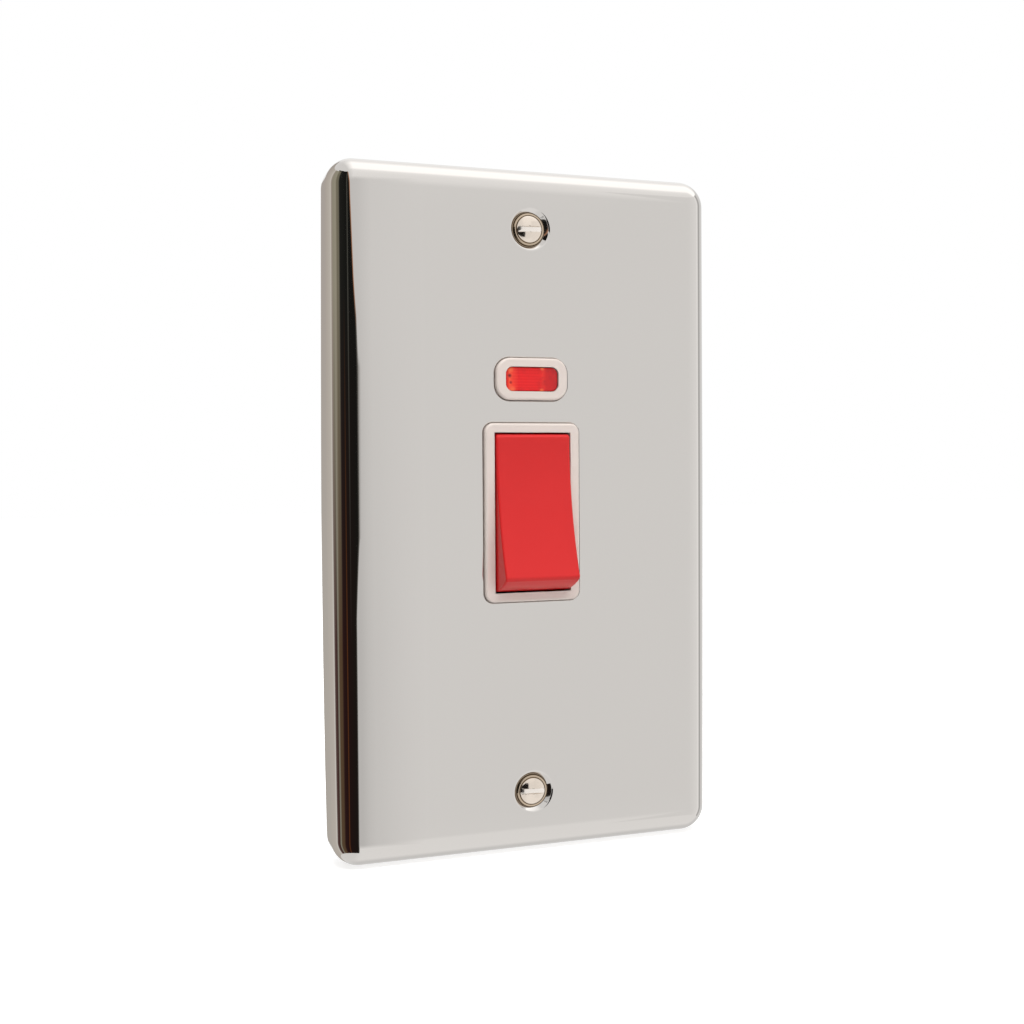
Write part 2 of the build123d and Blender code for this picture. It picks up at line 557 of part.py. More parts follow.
# Rear housing: mechanism chamber, four terminal pockets, lamp chamber and fixing ears
with BuildPart() as rear_housing:
    with BuildSketch(facing_back(flange_back_y)):
        RectangleRounded(ear_width, ear_height, EAR_CORNER)
    extrude(amount=EAR_SHEET)
    with BuildSketch(facing_back(flange_back_y)):
        with Locations((0, lamp_cover_z)):
            RectangleRounded(lamp_width + 2 * HOUSING_WALL, lamp_cover_height, BODY_CORNER)
    extrude(amount=lamp_floor_y - flange_back_y + HOUSING_WALL)
    with BuildSketch(facing_back(flange_back_y)):
        RectangleRounded(body_width, 2 * body_top_z, BODY_CORNER)
    extrude(amount=body_back_y - flange_back_y)
    bank_height = body_top_z - bank_start_z
    with BuildSketch(facing_back(body_back_y)):
        with GridLocations(0, body_top_z + bank_start_z, 1, 2):
            RectangleRounded(body_width, bank_height, BODY_CORNER)
            Rectangle(BANK_GROOVE, bank_height, mode=Mode.SUBTRACT)
    extrude(amount=bank_back_y - body_back_y)
    fillet(rear_housing.faces().sort_by(Axis.Y)[-4:].edges(), HOUSING_BLEND)
    with BuildSketch(facing_back(body_back_y)):
        with GridLocations(RIB_PITCH, 0, 3, 1):
            Rectangle(RIB_SHEET, 2 * bank_start_z)
    extrude(amount=RIB_RISE)
    with BuildSketch(facing_back(flange_back_y)):
        chamber_width = well_width + 2 * (CHEEK + ROOM)
        Rectangle(chamber_width, 2 * (well_radius + ROOM))
    extrude(amount=chamber_back_y - flange_back_y, mode=Mode.SUBTRACT)
    with BuildSketch(facing_back(flange_back_y)):
        with GridLocations(2 * terminal_x, 2 * terminal_z, 2, 2):
            Rectangle(TERMINAL_WIDTH + 2 * FIT, TERMINAL_LENGTH + 2 * FIT)
    extrude(amount=terminal_back_y - flange_back_y, mode=Mode.SUBTRACT)
    strip_step_z = fixed_tip_z - TIP_RADIUS - TIP_LAP - FIT
    strip_room_z = terminal_start_z + BORE_END / 2 + FIT
    for strip_y, low_z, high_z in (
        (feed_strip_y, -strip_room_z, strip_room_z),
        (load_strip_y, strip_step_z, strip_room_z),
    ):
        with BuildSketch(facing_back(flange_back_y, z=(low_z + high_z) / 2)):
            with GridLocations(2 * pole_x, 0, 2, 1):
                Rectangle(STRIP_WIDTH + 2 * ROOM, high_z - low_z)
        extrude(amount=strip_y + STRIP_SHEET - flange_back_y, mode=Mode.SUBTRACT)
    with BuildSketch(facing_back(flange_back_y)):
        with Locations((0, lamp_cover_z)):
            Rectangle(lamp_width, lamp_high_z - lamp_low_z)
    extrude(amount=lamp_floor_y - flange_back_y, mode=Mode.SUBTRACT)
    with Locations(facing_back(bank_back_y)):
        with GridLocations(2 * terminal_x, 2 * bore_z, 2, 2):
            with GridLocations(0, SCREW_PITCH, 1, 2):
                Hole(SCREW_HEAD_RADIUS + ROOM, depth=bank_back_y - terminal_back_y)
    for end in (-1, 1):
        with Locations(Plane(origin=(0, bore_y, end * body_top_z), x_dir=(1, 0, 0), z_dir=(0, 0, end))):
            with GridLocations(2 * terminal_x, 0, 2, 1):
                CounterSinkHole(
                    BORE_RADIUS + ENTRY_ROOM,
                    BORE_RADIUS + ENTRY_ROOM + ENTRY_MOUTH,
                    depth=HOUSING_WALL + FIT,
                    counter_sink_angle=90,
                )
    with Locations(facing_front(flange_back_y)):
        with GridLocations(2 * ear_x, 2 * EAR_HEIGHT, 2, 2):
            Hole(EAR_HOLE_RADIUS, depth=EAR_SHEET)
            Hole(BUSH_RADIUS + FIT, depth=BUSH_LENGTH - FLANGE + FIT)
keep(rear_housing.part, "rear_housing")

# Housing screws: through the ears into the weld bushes
with BuildPart() as housing_screws:
    with BuildSketch(facing_back(ear_back_y)):
        with GridLocations(2 * ear_x, 2 * EAR_HEIGHT, 2, 2):
            Circle(HOUSING_HEAD_RADIUS)
    extrude(amount=HOUSING_HEAD)
    with BuildSketch(facing_back(ear_back_y + HOUSING_HEAD)):
        with GridLocations(2 * ear_x, 2 * EAR_HEIGHT, 2, 2):
            Rectangle(2 * HOUSING_HEAD_RADIUS, HOUSING_SLOT)
    extrude(amount=-HOUSING_SLOT_DEPTH, mode=Mode.SUBTRACT)
    with BuildSketch(facing_back(ear_back_y)):
        with GridLocations(2 * ear_x, 2 * EAR_HEIGHT, 2, 2):
            Circle(HOUSING_SCREW_RADIUS)
    extrude(amount=-HOUSING_SCREW_LENGTH)
keep(housing_screws.part, "housing_screws")

# Neon lens: stepped block with prism ribs across its back
with BuildPart() as neon_lens:
    with BuildSketch(facing_front(inner_y, z=NEON_HEIGHT)):
        RectangleRounded(LENS_WIDTH, LENS_HEIGHT, LENS_CORNER)
    extrude(amount=inner_y - lens_front_y)
    fillet(neon_lens.faces().sort_by(Axis.Y)[0].edges(), LENS_BLEND)
    with BuildSketch(facing_back(inner_y, z=NEON_HEIGHT)):
        RectangleRounded(
            LENS_WIDTH + 2 * LENS_STEP,
            LENS_HEIGHT + 2 * LENS_STEP,
            LENS_CORNER + LENS_STEP,
        )
    extrude(amount=FLANGE)
    with BuildSketch(section(flange_back_y, z=NEON_HEIGHT)):
        with GridLocations(0, LENS_RIB_PITCH, 1, LENS_RIBS):
            with BuildLine():
                Polyline(
                    (0, LENS_RIB_PITCH / 2),
                    (-LENS_RIB_DEPTH, 0),
                    (0, -LENS_RIB_PITCH / 2),
                    close=True,
                )
            make_face()
    extrude(amount=LENS_WIDTH / 2, both=True, mode=Mode.SUBTRACT)
keep(neon_lens.part, "neon_lens")

# Neon lamp: a glass bulb on its side behind the lens, with its leads at the right end
with BuildPart() as neon_lamp:
    with BuildSketch(section(lamp_y, x=-lamp_end_x, z=NEON_HEIGHT)):
        Circle(LAMP_RADIUS)
    extrude(amount=LAMP_LENGTH)
    fillet(neon_lamp.edges().sort_by(Axis.X)[0], LAMP_NOSE)
keep(neon_lamp.part, "neon_lamp")


def insulated_lead(route):
    """Round lead along straight runs joined by bends."""
    with BuildPart() as lead:
        with BuildLine() as path:
            if len(route) > 2:
                FilletPolyline(*route, radius=LEAD_BEND)
            else:
                Line(*route)
        with BuildSketch(Plane(origin=path.line @ 0, z_dir=path.line % 0)):
            Circle(LEAD_RADIUS)
        sweep(path=path.line)
    return lead.part


tail_y = terminal_front_y - LEAD_TAIL
resistor_y = tail_y - RESISTOR_LENGTH
keep(
    insulated_lead(
        [
            (lamp_end_x, lamp_y, NEON_HEIGHT - LEAD_SPREAD),
            (lamp_end_x + LEAD_EXIT / 2, lamp_y, NEON_HEIGHT - LEAD_SPREAD),
            (terminal_x, lamp_y, lead_z),
            (terminal_x, resistor_y, lead_z),
        ]
    ),
    "neon_lead_right",
)
keep(
    insulated_lead([(terminal_x, tail_y, lead_z), (terminal_x, terminal_front_y, lead_z)]),
    "resistor_tail",
)
keep(
    insulated_lead(
        [
            (lamp_end_x, lamp_y, NEON_HEIGHT + LEAD_SPREAD),
            (lamp_end_x + LEAD_EXIT, lamp_y, NEON_HEIGHT + LEAD_SPREAD),
            (lamp_end_x + LEAD_EXIT, lamp_y, NEON_HEIGHT + LEAD_RISE),
            (-terminal_x, lamp_y, NEON_HEIGHT + LEAD_RISE),
            (-terminal_x, lamp_y, lead_z),
            (-terminal_x, terminal_front_y, lead_z),
        ]
    ),
    "neon_lead_left",
)

# Neon resistor: a small cylinder in line with the right-hand lead
with BuildPart() as neon_resistor:
    with BuildSketch(facing_back(resistor_y, x=terminal_x, z=lead_z)):
        Circle(RESISTOR_RADIUS)
    extrude(amount=RESISTOR_LENGTH)
    fillet(neon_resistor.edges().filter_by(GeomType.CIRCLE), RESISTOR_BLEND)
keep(neon_resistor.part, "neon_resistor")

# Earth terminal: a brass block on the back of the plate, below the housing
with BuildPart() as earth_terminal:
    with BuildSketch(facing_back(inner_y, z=-EARTH_DROP)):
        RectangleRounded(EARTH_WIDTH, EARTH_WIDTH, TERMINAL_CORNER)
    extrude(amount=EARTH_DEPTH)
    earth_bore_y = inner_y + EARTH_BORE_WALL + EARTH_BORE_RADIUS
    with BuildSketch(section(earth_bore_y, z=-EARTH_DROP)):
        Circle(EARTH_BORE_RADIUS)
    extrude(amount=EARTH_WIDTH / 2, both=True, mode=Mode.SUBTRACT)
    with Locations(facing_back(inner_y + EARTH_DEPTH, z=-EARTH_DROP)):
        Hole(EARTH_SCREW_RADIUS + RUNNING, depth=inner_y + EARTH_DEPTH - earth_bore_y)
keep(earth_terminal.part, "earth_terminal")

# Earth screw: seated on its block
with BuildPart() as earth_screw:
    earth_seat_y = inner_y + EARTH_DEPTH
    earth_tip_y = earth_bore_y + EARTH_BORE_RADIUS + SCREW_SHORT
    with BuildSketch(facing_back(earth_seat_y, z=-EARTH_DROP)):
        Circle(EARTH_HEAD_RADIUS)
    extrude(amount=EARTH_HEAD)
    with BuildSketch(facing_back(earth_seat_y + EARTH_HEAD, z=-EARTH_DROP)):
        Rectangle(2 * EARTH_HEAD_RADIUS, SCREW_SLOT)
    extrude(amount=-SCREW_SLOT_DEPTH, mode=Mode.SUBTRACT)
    with BuildSketch(facing_back(earth_tip_y, z=-EARTH_DROP)):
        Circle(EARTH_SCREW_RADIUS)
    extrude(amount=earth_seat_y - earth_tip_y)
keep(earth_screw.part, "earth_screw")
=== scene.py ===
import json
import math

import bmesh
import bpy
from mathutils import Matrix, Vector


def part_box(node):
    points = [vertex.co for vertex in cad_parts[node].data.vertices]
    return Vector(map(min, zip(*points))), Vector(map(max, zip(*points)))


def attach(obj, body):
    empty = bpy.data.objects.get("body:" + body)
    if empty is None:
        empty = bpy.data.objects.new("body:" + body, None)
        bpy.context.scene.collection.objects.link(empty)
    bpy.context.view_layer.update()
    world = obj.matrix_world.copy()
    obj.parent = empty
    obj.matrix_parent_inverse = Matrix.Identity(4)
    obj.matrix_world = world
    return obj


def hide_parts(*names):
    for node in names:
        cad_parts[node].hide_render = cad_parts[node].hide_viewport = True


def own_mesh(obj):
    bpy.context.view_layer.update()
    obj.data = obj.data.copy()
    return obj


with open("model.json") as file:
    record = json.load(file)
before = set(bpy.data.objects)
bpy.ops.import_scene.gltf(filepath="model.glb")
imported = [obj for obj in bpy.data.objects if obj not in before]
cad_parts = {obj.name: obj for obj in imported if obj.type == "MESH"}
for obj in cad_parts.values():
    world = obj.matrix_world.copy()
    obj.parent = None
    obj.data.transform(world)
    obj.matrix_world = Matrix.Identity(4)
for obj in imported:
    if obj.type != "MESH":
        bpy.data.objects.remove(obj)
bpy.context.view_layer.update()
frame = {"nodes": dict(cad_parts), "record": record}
scene = bpy.context.scene
scene.view_settings.view_transform = "Standard"

MM = 0.001

# Plate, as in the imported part
plate_low, plate_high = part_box("faceplate")
plate_width = plate_high.x - plate_low.x
plate_height = plate_high.z - plate_low.z
face_y = plate_low.y
PLATE_SHEET = 1.2 * MM
PLATE_EDGE = 5.5 * MM
FACE_CORNER = 0.3 * MM          # corners of the flat face, inside its rounded edge
FACE_BORDER = 0.2 * MM          # flat ring that keeps the face true beside its rounded edge
FIXING_HEIGHT = 60.3 * MM       # fixing holes above and below the middle
FIXING_HOLE_RADIUS = 2.1 * MM
DIMPLE_RADIUS = 4.4 * MM
DIMPLE_SLOPE = 45.0             # degrees, from the face down to the fixing hole
DIMPLE_BLEND = 0.6 * MM         # radius of the bend at the dimple's mouth
DIMPLE_BORDER = 0.6 * MM        # flat ring around each dimple
DIMPLE_STEPS = 6
FOLD_REACH = 0.3 * MM           # of the sheet's folds behind the dimples' bends
FOLD_MARGIN = 0.003 * MM        # points further than this out of place are folded
RIM_WIDTH = 21.6 * MM
RIM_HEIGHT = 38.06 * MM
RIM_CORNER = 2.0 * MM
NEON_WIDTH = 16.3 * MM
NEON_TALL = 8.95 * MM
NEON_CORNER = 3.3 * MM
NEON_HEIGHT = 28.4 * MM         # its middle above the plate's
PIERCED_GAP = 0.1 * MM          # between the sheet and the mouldings that come through it
PIERCED_BORDER = 0.5 * MM       # flat ring around each opening
CUT_ROUND = 0.25 * MM           # easing of the sheet's cut edges
CUT_ANGLE = 50.0                # degrees; sharper edges of the sheet are cut ones
CUT_STEPS = 4
# How far the back edges of the walls are drawn in at the lower and upper corners, and how late it sets in
WALL_PULL = (0.55 * MM, 0.75 * MM)
WALL_POWER = (3.4, 1.2)
WALL_STEPS = 16

EDGE_STEPS = 24
CORNER_STEPS = 16
ROUND_STEPS = 72
WELD = 0.001 * MM               # points closer than this are one
FLAT = 0.01 * MM                # points closer to the face's plane than this lie in it
SHARP_ANGLE = 35.0              # degrees; sharper edges aren't shaded smooth

# Fixing screws, slotted domed heads in the plate's dimples
HEAD_PROUD = 0.1 * MM
HEAD_BALL = 7.0 * MM            # radius of the dome
DOME_REACH = 2.84 * MM
DOME_FOOT = 2.98 * MM
SHOULDER_DROP = 0.18 * MM
HEAD_DEPTH = 0.84 * MM          # widest part of the head below the face
HEAD_RADIUS = 3.5 * MM
NECK_RADIUS = 1.5 * MM
NECK_LENGTH = 2.2 * MM
CORE_RADIUS = 1.4 * MM
CREST_RADIUS = 1.75 * MM
THREAD_LENGTH = 20.0 * MM
THREAD_PITCH = 0.6 * MM
THREAD_FLANK = 0.46 * THREAD_PITCH  # along the axis, from root to crest
THREAD_SINK = 0.12 * MM         # of the ridge into the core
POINT_CHAMFER = 0.5 * MM
SLOT_WIDTH = 1.1 * MM
SLOT_DEPTH = 0.5 * MM
SLOT_TURNS = (3.0, -3.0)        # degrees, upper and lower screw
SLOT_ROUND = 0.04 * MM
SLOT_ANGLE = 60.0               # degrees; sharper edges of the head are sawn ones
SLOT_STEPS = 3
DOME_STEPS = 10
SHOULDER_STEPS = 6
THREAD_STEPS = 24               # in one turn
# The slot's bright floor: its shade, and where it ends across the slot and out from the screw's axis
SLOT_FLOOR_SHADE = (0.82, 0.76, 0.70)
SLOT_FLOOR_ACROSS = (0.40 * SLOT_WIDTH, 0.52 * SLOT_WIDTH)
SLOT_FLOOR_OUT = (2.5 * MM, 2.8 * MM)
# Painted shade by distance from the screws' axes: dark rings at the dome's foot and at the rim, and a
# darker shoulder between and beyond them
PAINTED_RING_SHADE = (
    (0.0, (1.0, 1.0, 1.0)),
    (2.76 * MM, (1.0, 1.0, 1.0)),
    (2.84 * MM, (0.18, 0.13, 0.08)),
    (2.98 * MM, (0.20, 0.15, 0.09)),
    (3.07 * MM, (0.70, 0.64, 0.56)),
    (3.34 * MM, (0.68, 0.62, 0.54)),
    (3.40 * MM, (0.22, 0.17, 0.11)),
    (3.47 * MM, (0.22, 0.17, 0.11)),
    (3.56 * MM, (0.62, 0.56, 0.48)),
)

# Lens, across the window of the neon rim
LENS_BODY = {"Transmission Weight": 0.06, "IOR": 1.49, "Specular IOR Level": 0.3}
LENS_SKIN = {"Cloud Scale": 900.0, "Grain Scale": 1500.0}
LENS_ROUGH = (0.10, 0.20)
LENS_REACH = 5.95 * MM          # from its middle to either end
# Its colour from left to right: its own red in the middle, with painted shade at both ends and over its
# right part, a painted glow towards its left end and a painted highlight right of its middle
LENS_RED_AND_PAINTED_LIGHT = (
    (-LENS_REACH, (0.56, 0.006, 0.008)),
    (-0.94 * LENS_REACH, (0.86, 0.030, 0.018)),
    (-0.86 * LENS_REACH, (1.00, 0.120, 0.050)),
    (-0.72 * LENS_REACH, (0.96, 0.060, 0.032)),
    (-0.52 * LENS_REACH, (0.86, 0.014, 0.016)),
    (0.30 * LENS_REACH, (0.84, 0.016, 0.016)),
    (0.42 * LENS_REACH, (0.90, 0.040, 0.026)),
    (0.54 * LENS_REACH, (0.66, 0.018, 0.018)),
    (0.93 * LENS_REACH, (0.58, 0.018, 0.020)),
    (LENS_REACH, (0.36, 0.006, 0.008)),
)
# Ribs behind it: height of one, where they set in and end from left to right, tints and relief
RIB_HEIGHT = 0.62 * MM
RIBS_START = (-4.9 * MM, -3.2 * MM)
RIBS_END = (1.2 * MM, 2.4 * MM)
RIB_TINTS = ((0.92, 0.55, 0.66), (1.0, 1.0, 1.0))
RIB_RELIEF = {"Strength": 0.3, "Distance": 0.02 * MM}
# Clouds in it: shade, noise over which they set in, their most, and the share left among the ribs
CLOUD_SHADE = (0.40, 0.008, 0.014)
CLOUD_ONSET = (0.45, 0.70)
CLOUD_MOST = 0.6
CLOUD_AMONG_RIBS = 0.25
# Painted glints and dark specks on it: across and up from its middle, reach and colour; the first four
# are painted highlights, the last two dark specks
LENS_SPOTS = (
    (2.35 * MM, 2.40 * MM, 0.62 * MM, (1.0, 0.20, 0.07)),
    (2.20 * MM, -2.45 * MM, 0.62 * MM, (1.0, 0.17, 0.06)),
    (-4.90 * MM, 2.05 * MM, 0.80 * MM, (1.0, 0.16, 0.06)),
    (-4.50 * MM, -2.25 * MM, 0.90 * MM, (1.0, 0.15, 0.06)),
    (-5.10 * MM, 0.70 * MM, 0.55 * MM, (0.16, 0.004, 0.010)),
    (-4.85 * MM, -0.75 * MM, 0.42 * MM, (0.34, 0.008, 0.014)),
)
SPOT_CORE = 0.2                 # share of a spot's reach that has its full colour

# Skins of the other materials, where nothing else is said
PLASTIC_SCALES = (60.0, 2500.0)
METAL_SCALES = (90.0, 900.0)
SKIN_RELIEF = 0.004 * MM
PIT_SHARE = 0.5                 # of a moulded skin's pits in its relief, beside the grain
DRAWN_OUT = (1.0, 1.0, 0.06)    # stretches a metal's streaks upright

# Camera, where the photograph was taken from
CAMERA_AZIMUTH = -20.562
CAMERA_ELEVATION = 2.069
CAMERA_ROLL = -0.369
CAMERA_DISTANCE = 298.717 * MM
CAMERA_SLIDE = (-0.729 * MM, -0.250 * MM)
CAMERA_CLIP = (0.01, 50.0)
SENSOR_WIDTH = 36.0             # in millimetres, as the focal length
FOCAL_LENGTH = 47.493

# Studio
MIDDLE = (0.0, 0.0, 0.0)
WHITE = (1.0, 1.0, 1.0, 1.0)
FLOOR_SIZE = 4.0
FLOOR_GAP = 0.2 * MM            # below the plate
FLOOR_GREY = 0.80
FLOOR_GLOW = 0.63               # added where the floor is seen
AMBIENT = 0.50                  # strength of the white world on dull surfaces
LAMP_SPOT = (0.0, -0.35, 0.9)
LAMP_SIZE = 0.8
LAMP_WATTS = 9.0
SCREEN_STEPS = 64

# Flag, a dark screen close round the plate's left edge; its angles are azimuths about that edge
FLAG_RADIUS = 30.0 * MM
FLAG_HEIGHTS = (-101.0 * MM, 102.0 * MM)
FLAG_AZIMUTHS = (-172.0, 48.0)
FLAG_CHANGE = (-30.0 * MM, 50.0 * MM)   # heights between which the low shades give way to the high ones
# Where its dark ends: azimuths that the ends lie between, then heights and azimuths
FLAG_SWING = (-30.0, 30.0)
FLAG_END = (
    (-101.0 * MM, 0.0),
    (-24.0 * MM, 0.5),
    (-6.0 * MM, 11.5),
    (32.0 * MM, 12.0),
    (43.0 * MM, 9.0),
    (52.0 * MM, 1.0),
    (70.0 * MM, -9.0),
    (102.0 * MM, -20.0),
)
# The line along that end: degrees past it where the line sets in, is full and gives way to the pale part,
# heights between which its low shade gives way to the high one, and both shades
FLAG_FADE = (-4.0, -0.5, 1.0)
FLAG_RIM_CHANGE = (40.0 * MM, 50.0 * MM)
FLAG_RIM_LOW = (0.16, 0.155, 0.14)
FLAG_RIM_HIGH = (0.62, 0.29, 0.15)
# The pale part: azimuths, and heights up or down, over which it thins out, then its azimuths and shades
FLAG_CLEAR_SIDE = (20.0, 40.0)
FLAG_CLEAR_ENDS = (76.0 * MM, 84.0 * MM)
FLAG_PALE_LOW = ((-30.0, 0.74), (12.0, 0.76), (15.0, 0.85), (18.0, 0.90), (48.0, 1.0))
FLAG_PALE_HIGH = ((-30.0, 0.82), (12.0, 0.86), (15.0, 0.92), (18.0, 0.97), (48.0, 1.0))
# The dark: azimuths and shades
FLAG_LOW = (
    (-172.0, (0.48, 0.45, 0.41)),
    (-140.0, (0.66, 0.62, 0.57)),
    (-106.0, (0.74, 0.70, 0.65)),
    (-101.0, (0.98, 0.96, 0.92)),
    (-95.5, (0.16, 0.10, 0.09)),
    (-83.0, (0.06, 0.025, 0.022)),
    (-78.0, (0.38, 0.37, 0.30)),
    (-72.0, (0.14, 0.09, 0.05)),
    (-61.0, (0.13, 0.08, 0.045)),
    (-55.0, (0.035, 0.014, 0.014)),
    (-41.0, (0.026, 0.011, 0.010)),
    (-38.0, (0.16, 0.055, 0.018)),
    (-35.0, (0.022, 0.011, 0.010)),
    (14.0, (0.012, 0.013, 0.010)),
)
FLAG_HIGH = (
    (-172.0, (0.46, 0.42, 0.39)),
    (-140.0, (0.62, 0.57, 0.52)),
    (-107.0, (0.74, 0.70, 0.64)),
    (-102.0, (0.88, 0.84, 0.78)),
    (-95.0, (0.48, 0.42, 0.37)),
    (-88.0, (0.42, 0.40, 0.31)),
    (-73.0, (0.46, 0.43, 0.34)),
    (-66.0, (0.23, 0.21, 0.15)),
    (-60.0, (0.27, 0.25, 0.19)),
    (-54.0, (0.020, 0.020, 0.018)),
    (-25.0, (0.012, 0.012, 0.011)),
    (-22.0, (0.11, 0.11, 0.095)),
    (-19.0, (0.012, 0.012, 0.011)),
    (14.0, (0.010, 0.010, 0.010)),
)

# Screen to the right: azimuths about the middle, and shades of RETURN_GLOW
RETURN_RADIUS = 0.8
RETURN_HEIGHTS = (-0.6, 0.6)
RETURN_GLOW = 1.25
RETURN_SHADES = (
    (30.0, 0.81), (70.0, 0.88), (76.0, 0.98), (80.0, 0.92),
    (85.0, 0.50), (93.0, 0.44), (99.0, 0.74), (135.0, 0.73),
)

# Cards above and below: places from front to back, and shades of CARD_GLOW
CARD_HEIGHT = 0.6
CARD_HALF_WIDTH = 1.2
CARD_GLOW = 1.75
CARD_LEFT = (-0.16, 0.02)       # across, where the cards' shades set in
TOP_SHADES = (
    (-2.7, 0.572), (-1.6, 0.61), (-0.45, 0.69), (-0.30, 0.74), (-0.20, 0.98),
    (0.08, 1.0), (0.20, 0.82), (0.33, 0.70), (0.70, 0.70),
)
UNDER_SHADES = (
    (-1.95, 0.572), (-1.15, 0.635), (-0.02, 0.64),
    (0.10, 0.55), (0.22, 0.48), (0.90, 0.47),
)

# Dark things far off to the left: a tall one beside the plate, a low one towards the camera
DARK_SHADE = (0.012, 0.010, 0.009, 1.0)
SIDE_AZIMUTHS = (-82.0, -48.0)
SIDE_HEIGHTS = (-0.21, 0.36)
SIDE_RADIUS = 0.25
LOW_AZIMUTHS = (-48.0, 3.0)
LOW_HEIGHTS = (-0.75, 0.55)
LOW_RADIUS = 2.0


# Shader helpers

def add(tree, kind, inputs=(), **settings):
    """A new node, with settings and values of its inputs."""
    made = tree.nodes.new(kind)
    for name, value in settings.items():
        setattr(made, name, value)
    for socket, value in dict(inputs).items():
        made.inputs[socket].default_value = value
    return made


def feed(tree, value, socket):
    """Links a socket to what feeds it, or sets its value."""
    if isinstance(value, bpy.types.NodeSocket):
        tree.links.new(value, socket)
    else:
        socket.default_value = value


def math_node(tree, operation, *values):
    made = add(tree, "ShaderNodeMath", operation=operation)
    for socket, value in zip(made.inputs, values):
        feed(tree, value, socket)
    return made.outputs["Value"]


def span(tree, value, low, high, start=0.0, end=1.0):
    """What runs from low to high while a value runs from start to end."""
    made = add(tree, "ShaderNodeMapRange", {
        "From Min": start, "From Max": end, "To Min": low, "To Max": high})
    tree.links.new(value, made.inputs["Value"])
    return made.outputs["Result"]


def mixed(tree, factor, *shades, blend="MIX"):
    """Two colours, each a value or a socket, mixed by a factor."""
    made = add(tree, "ShaderNodeMix", data_type="RGBA", blend_type=blend)
    places = [socket for socket in made.inputs if socket.type == "RGBA"]
    for place, shade in zip(places, shades):
        linked = isinstance(shade, bpy.types.NodeSocket)
        feed(tree, shade if linked else (*shade, 1.0), place)
    feed(tree, factor, made.inputs["Factor"])
    return next(socket for socket in made.outputs if socket.type == "RGBA")


def shade_ramp(tree, value, stops):
    """Colours along a value that runs from the first stop's place to the last one's."""
    made = add(tree, "ShaderNodeValToRGB")
    low, high = stops[0][0], stops[-1][0]
    tree.links.new(span(tree, value, 0.0, 1.0, low, high), made.inputs["Fac"])
    elements = made.color_ramp.elements
    while len(elements) < len(stops):
        elements.new(1.0)
    for element, (place, colour) in zip(elements, stops):
        element.position = (place - low) / (high - low)
        element.color = (*colour, 1.0)
    return made.outputs["Color"]


def greys(stops):
    return [(place, (grey, grey, grey)) for place, grey in stops]


def object_place(tree):
    return add(tree, "ShaderNodeTexCoord").outputs["Object"]


def split(tree, vector):
    """The three coordinates of a vector."""
    axes = add(tree, "ShaderNodeSeparateXYZ")
    tree.links.new(vector, axes.inputs["Vector"])
    return axes.outputs


def upright(tree, across, up):
    """A place in the upright plane, from two of its coordinates."""
    made = add(tree, "ShaderNodeCombineXYZ")
    tree.links.new(across, made.inputs["X"])
    tree.links.new(up, made.inputs["Z"])
    return made.outputs["Vector"]


def noise(tree, vector, scale, detail):
    made = add(tree, "ShaderNodeTexNoise", {"Detail": detail})
    tree.links.new(vector, made.inputs["Vector"])
    tree.links.new(scale, made.inputs["Scale"])
    return made.outputs["Fac"]


def relief(tree, shader, height, values):
    bump = add(tree, "ShaderNodeBump", values)
    tree.links.new(height, bump.inputs["Height"])
    tree.links.new(bump.outputs["Normal"], shader.inputs["Normal"])


def new_group(name, inputs, outputs):
    group = bpy.data.node_groups.new(name, "ShaderNodeTree")
    for socket, value in inputs.items():
        made = group.interface.new_socket(name=socket, in_out="INPUT", socket_type="NodeSocketFloat")
        made.default_value = value
    for socket in outputs:
        group.interface.new_socket(name=socket, in_out="OUTPUT", socket_type="NodeSocketFloat")
    return group, group.nodes.new("NodeGroupInput"), group.nodes.new("NodeGroupOutput")


def moulded_skin():
    """Flow clouds, fine grain and pin-prick pits of a moulded plastic."""
    scales = dict(zip(("Cloud Scale", "Grain Scale"), PLASTIC_SCALES))
    group, given, made = new_group("moulded_skin", scales, ("Cloud", "Grain", "Height"))
    place = object_place(group)
    cloud = noise(group, place, given.outputs["Cloud Scale"], detail=4.0)
    grain = noise(group, place, given.outputs["Grain Scale"], detail=3.0)
    pits = add(group, "ShaderNodeTexVoronoi")
    group.links.new(place, pits.inputs["Vector"])
    group.links.new(given.outputs["Grain Scale"], pits.inputs["Scale"])
    height = math_node(group, "MULTIPLY_ADD", pits.outputs["Distance"], PIT_SHARE, grain)
    group.links.new(cloud, made.inputs["Cloud"])
    group.links.new(grain, made.inputs["Grain"])
    group.links.new(height, made.inputs["Height"])
    return group


def worked_metal():
    """Stain clouds and drawn streaks of rolled, turned or plated metal."""
    scales = dict(zip(("Cloud Scale", "Streak Scale"), METAL_SCALES))
    group, given, made = new_group("worked_metal", scales, ("Cloud", "Streak", "Height"))
    place = object_place(group)
    cloud = noise(group, place, given.outputs["Cloud Scale"], detail=5.0)
    drawn = add(group, "ShaderNodeMapping", {"Scale": DRAWN_OUT})
    group.links.new(place, drawn.inputs["Vector"])
    streak = noise(group, drawn.outputs["Vector"], given.outputs["Streak Scale"], detail=3.0)
    grain = noise(group, place, given.outputs["Streak Scale"], detail=2.0)
    group.links.new(cloud, made.inputs["Cloud"])
    group.links.new(streak, made.inputs["Streak"])
    group.links.new(math_node(group, "ADD", streak, grain), made.inputs["Height"])
    return group


moulded_group = moulded_skin()
metal_group = worked_metal()


# Materials

def new_material(name):
    material = bpy.data.materials.new(name)
    material.use_nodes = True
    return material, material.node_tree


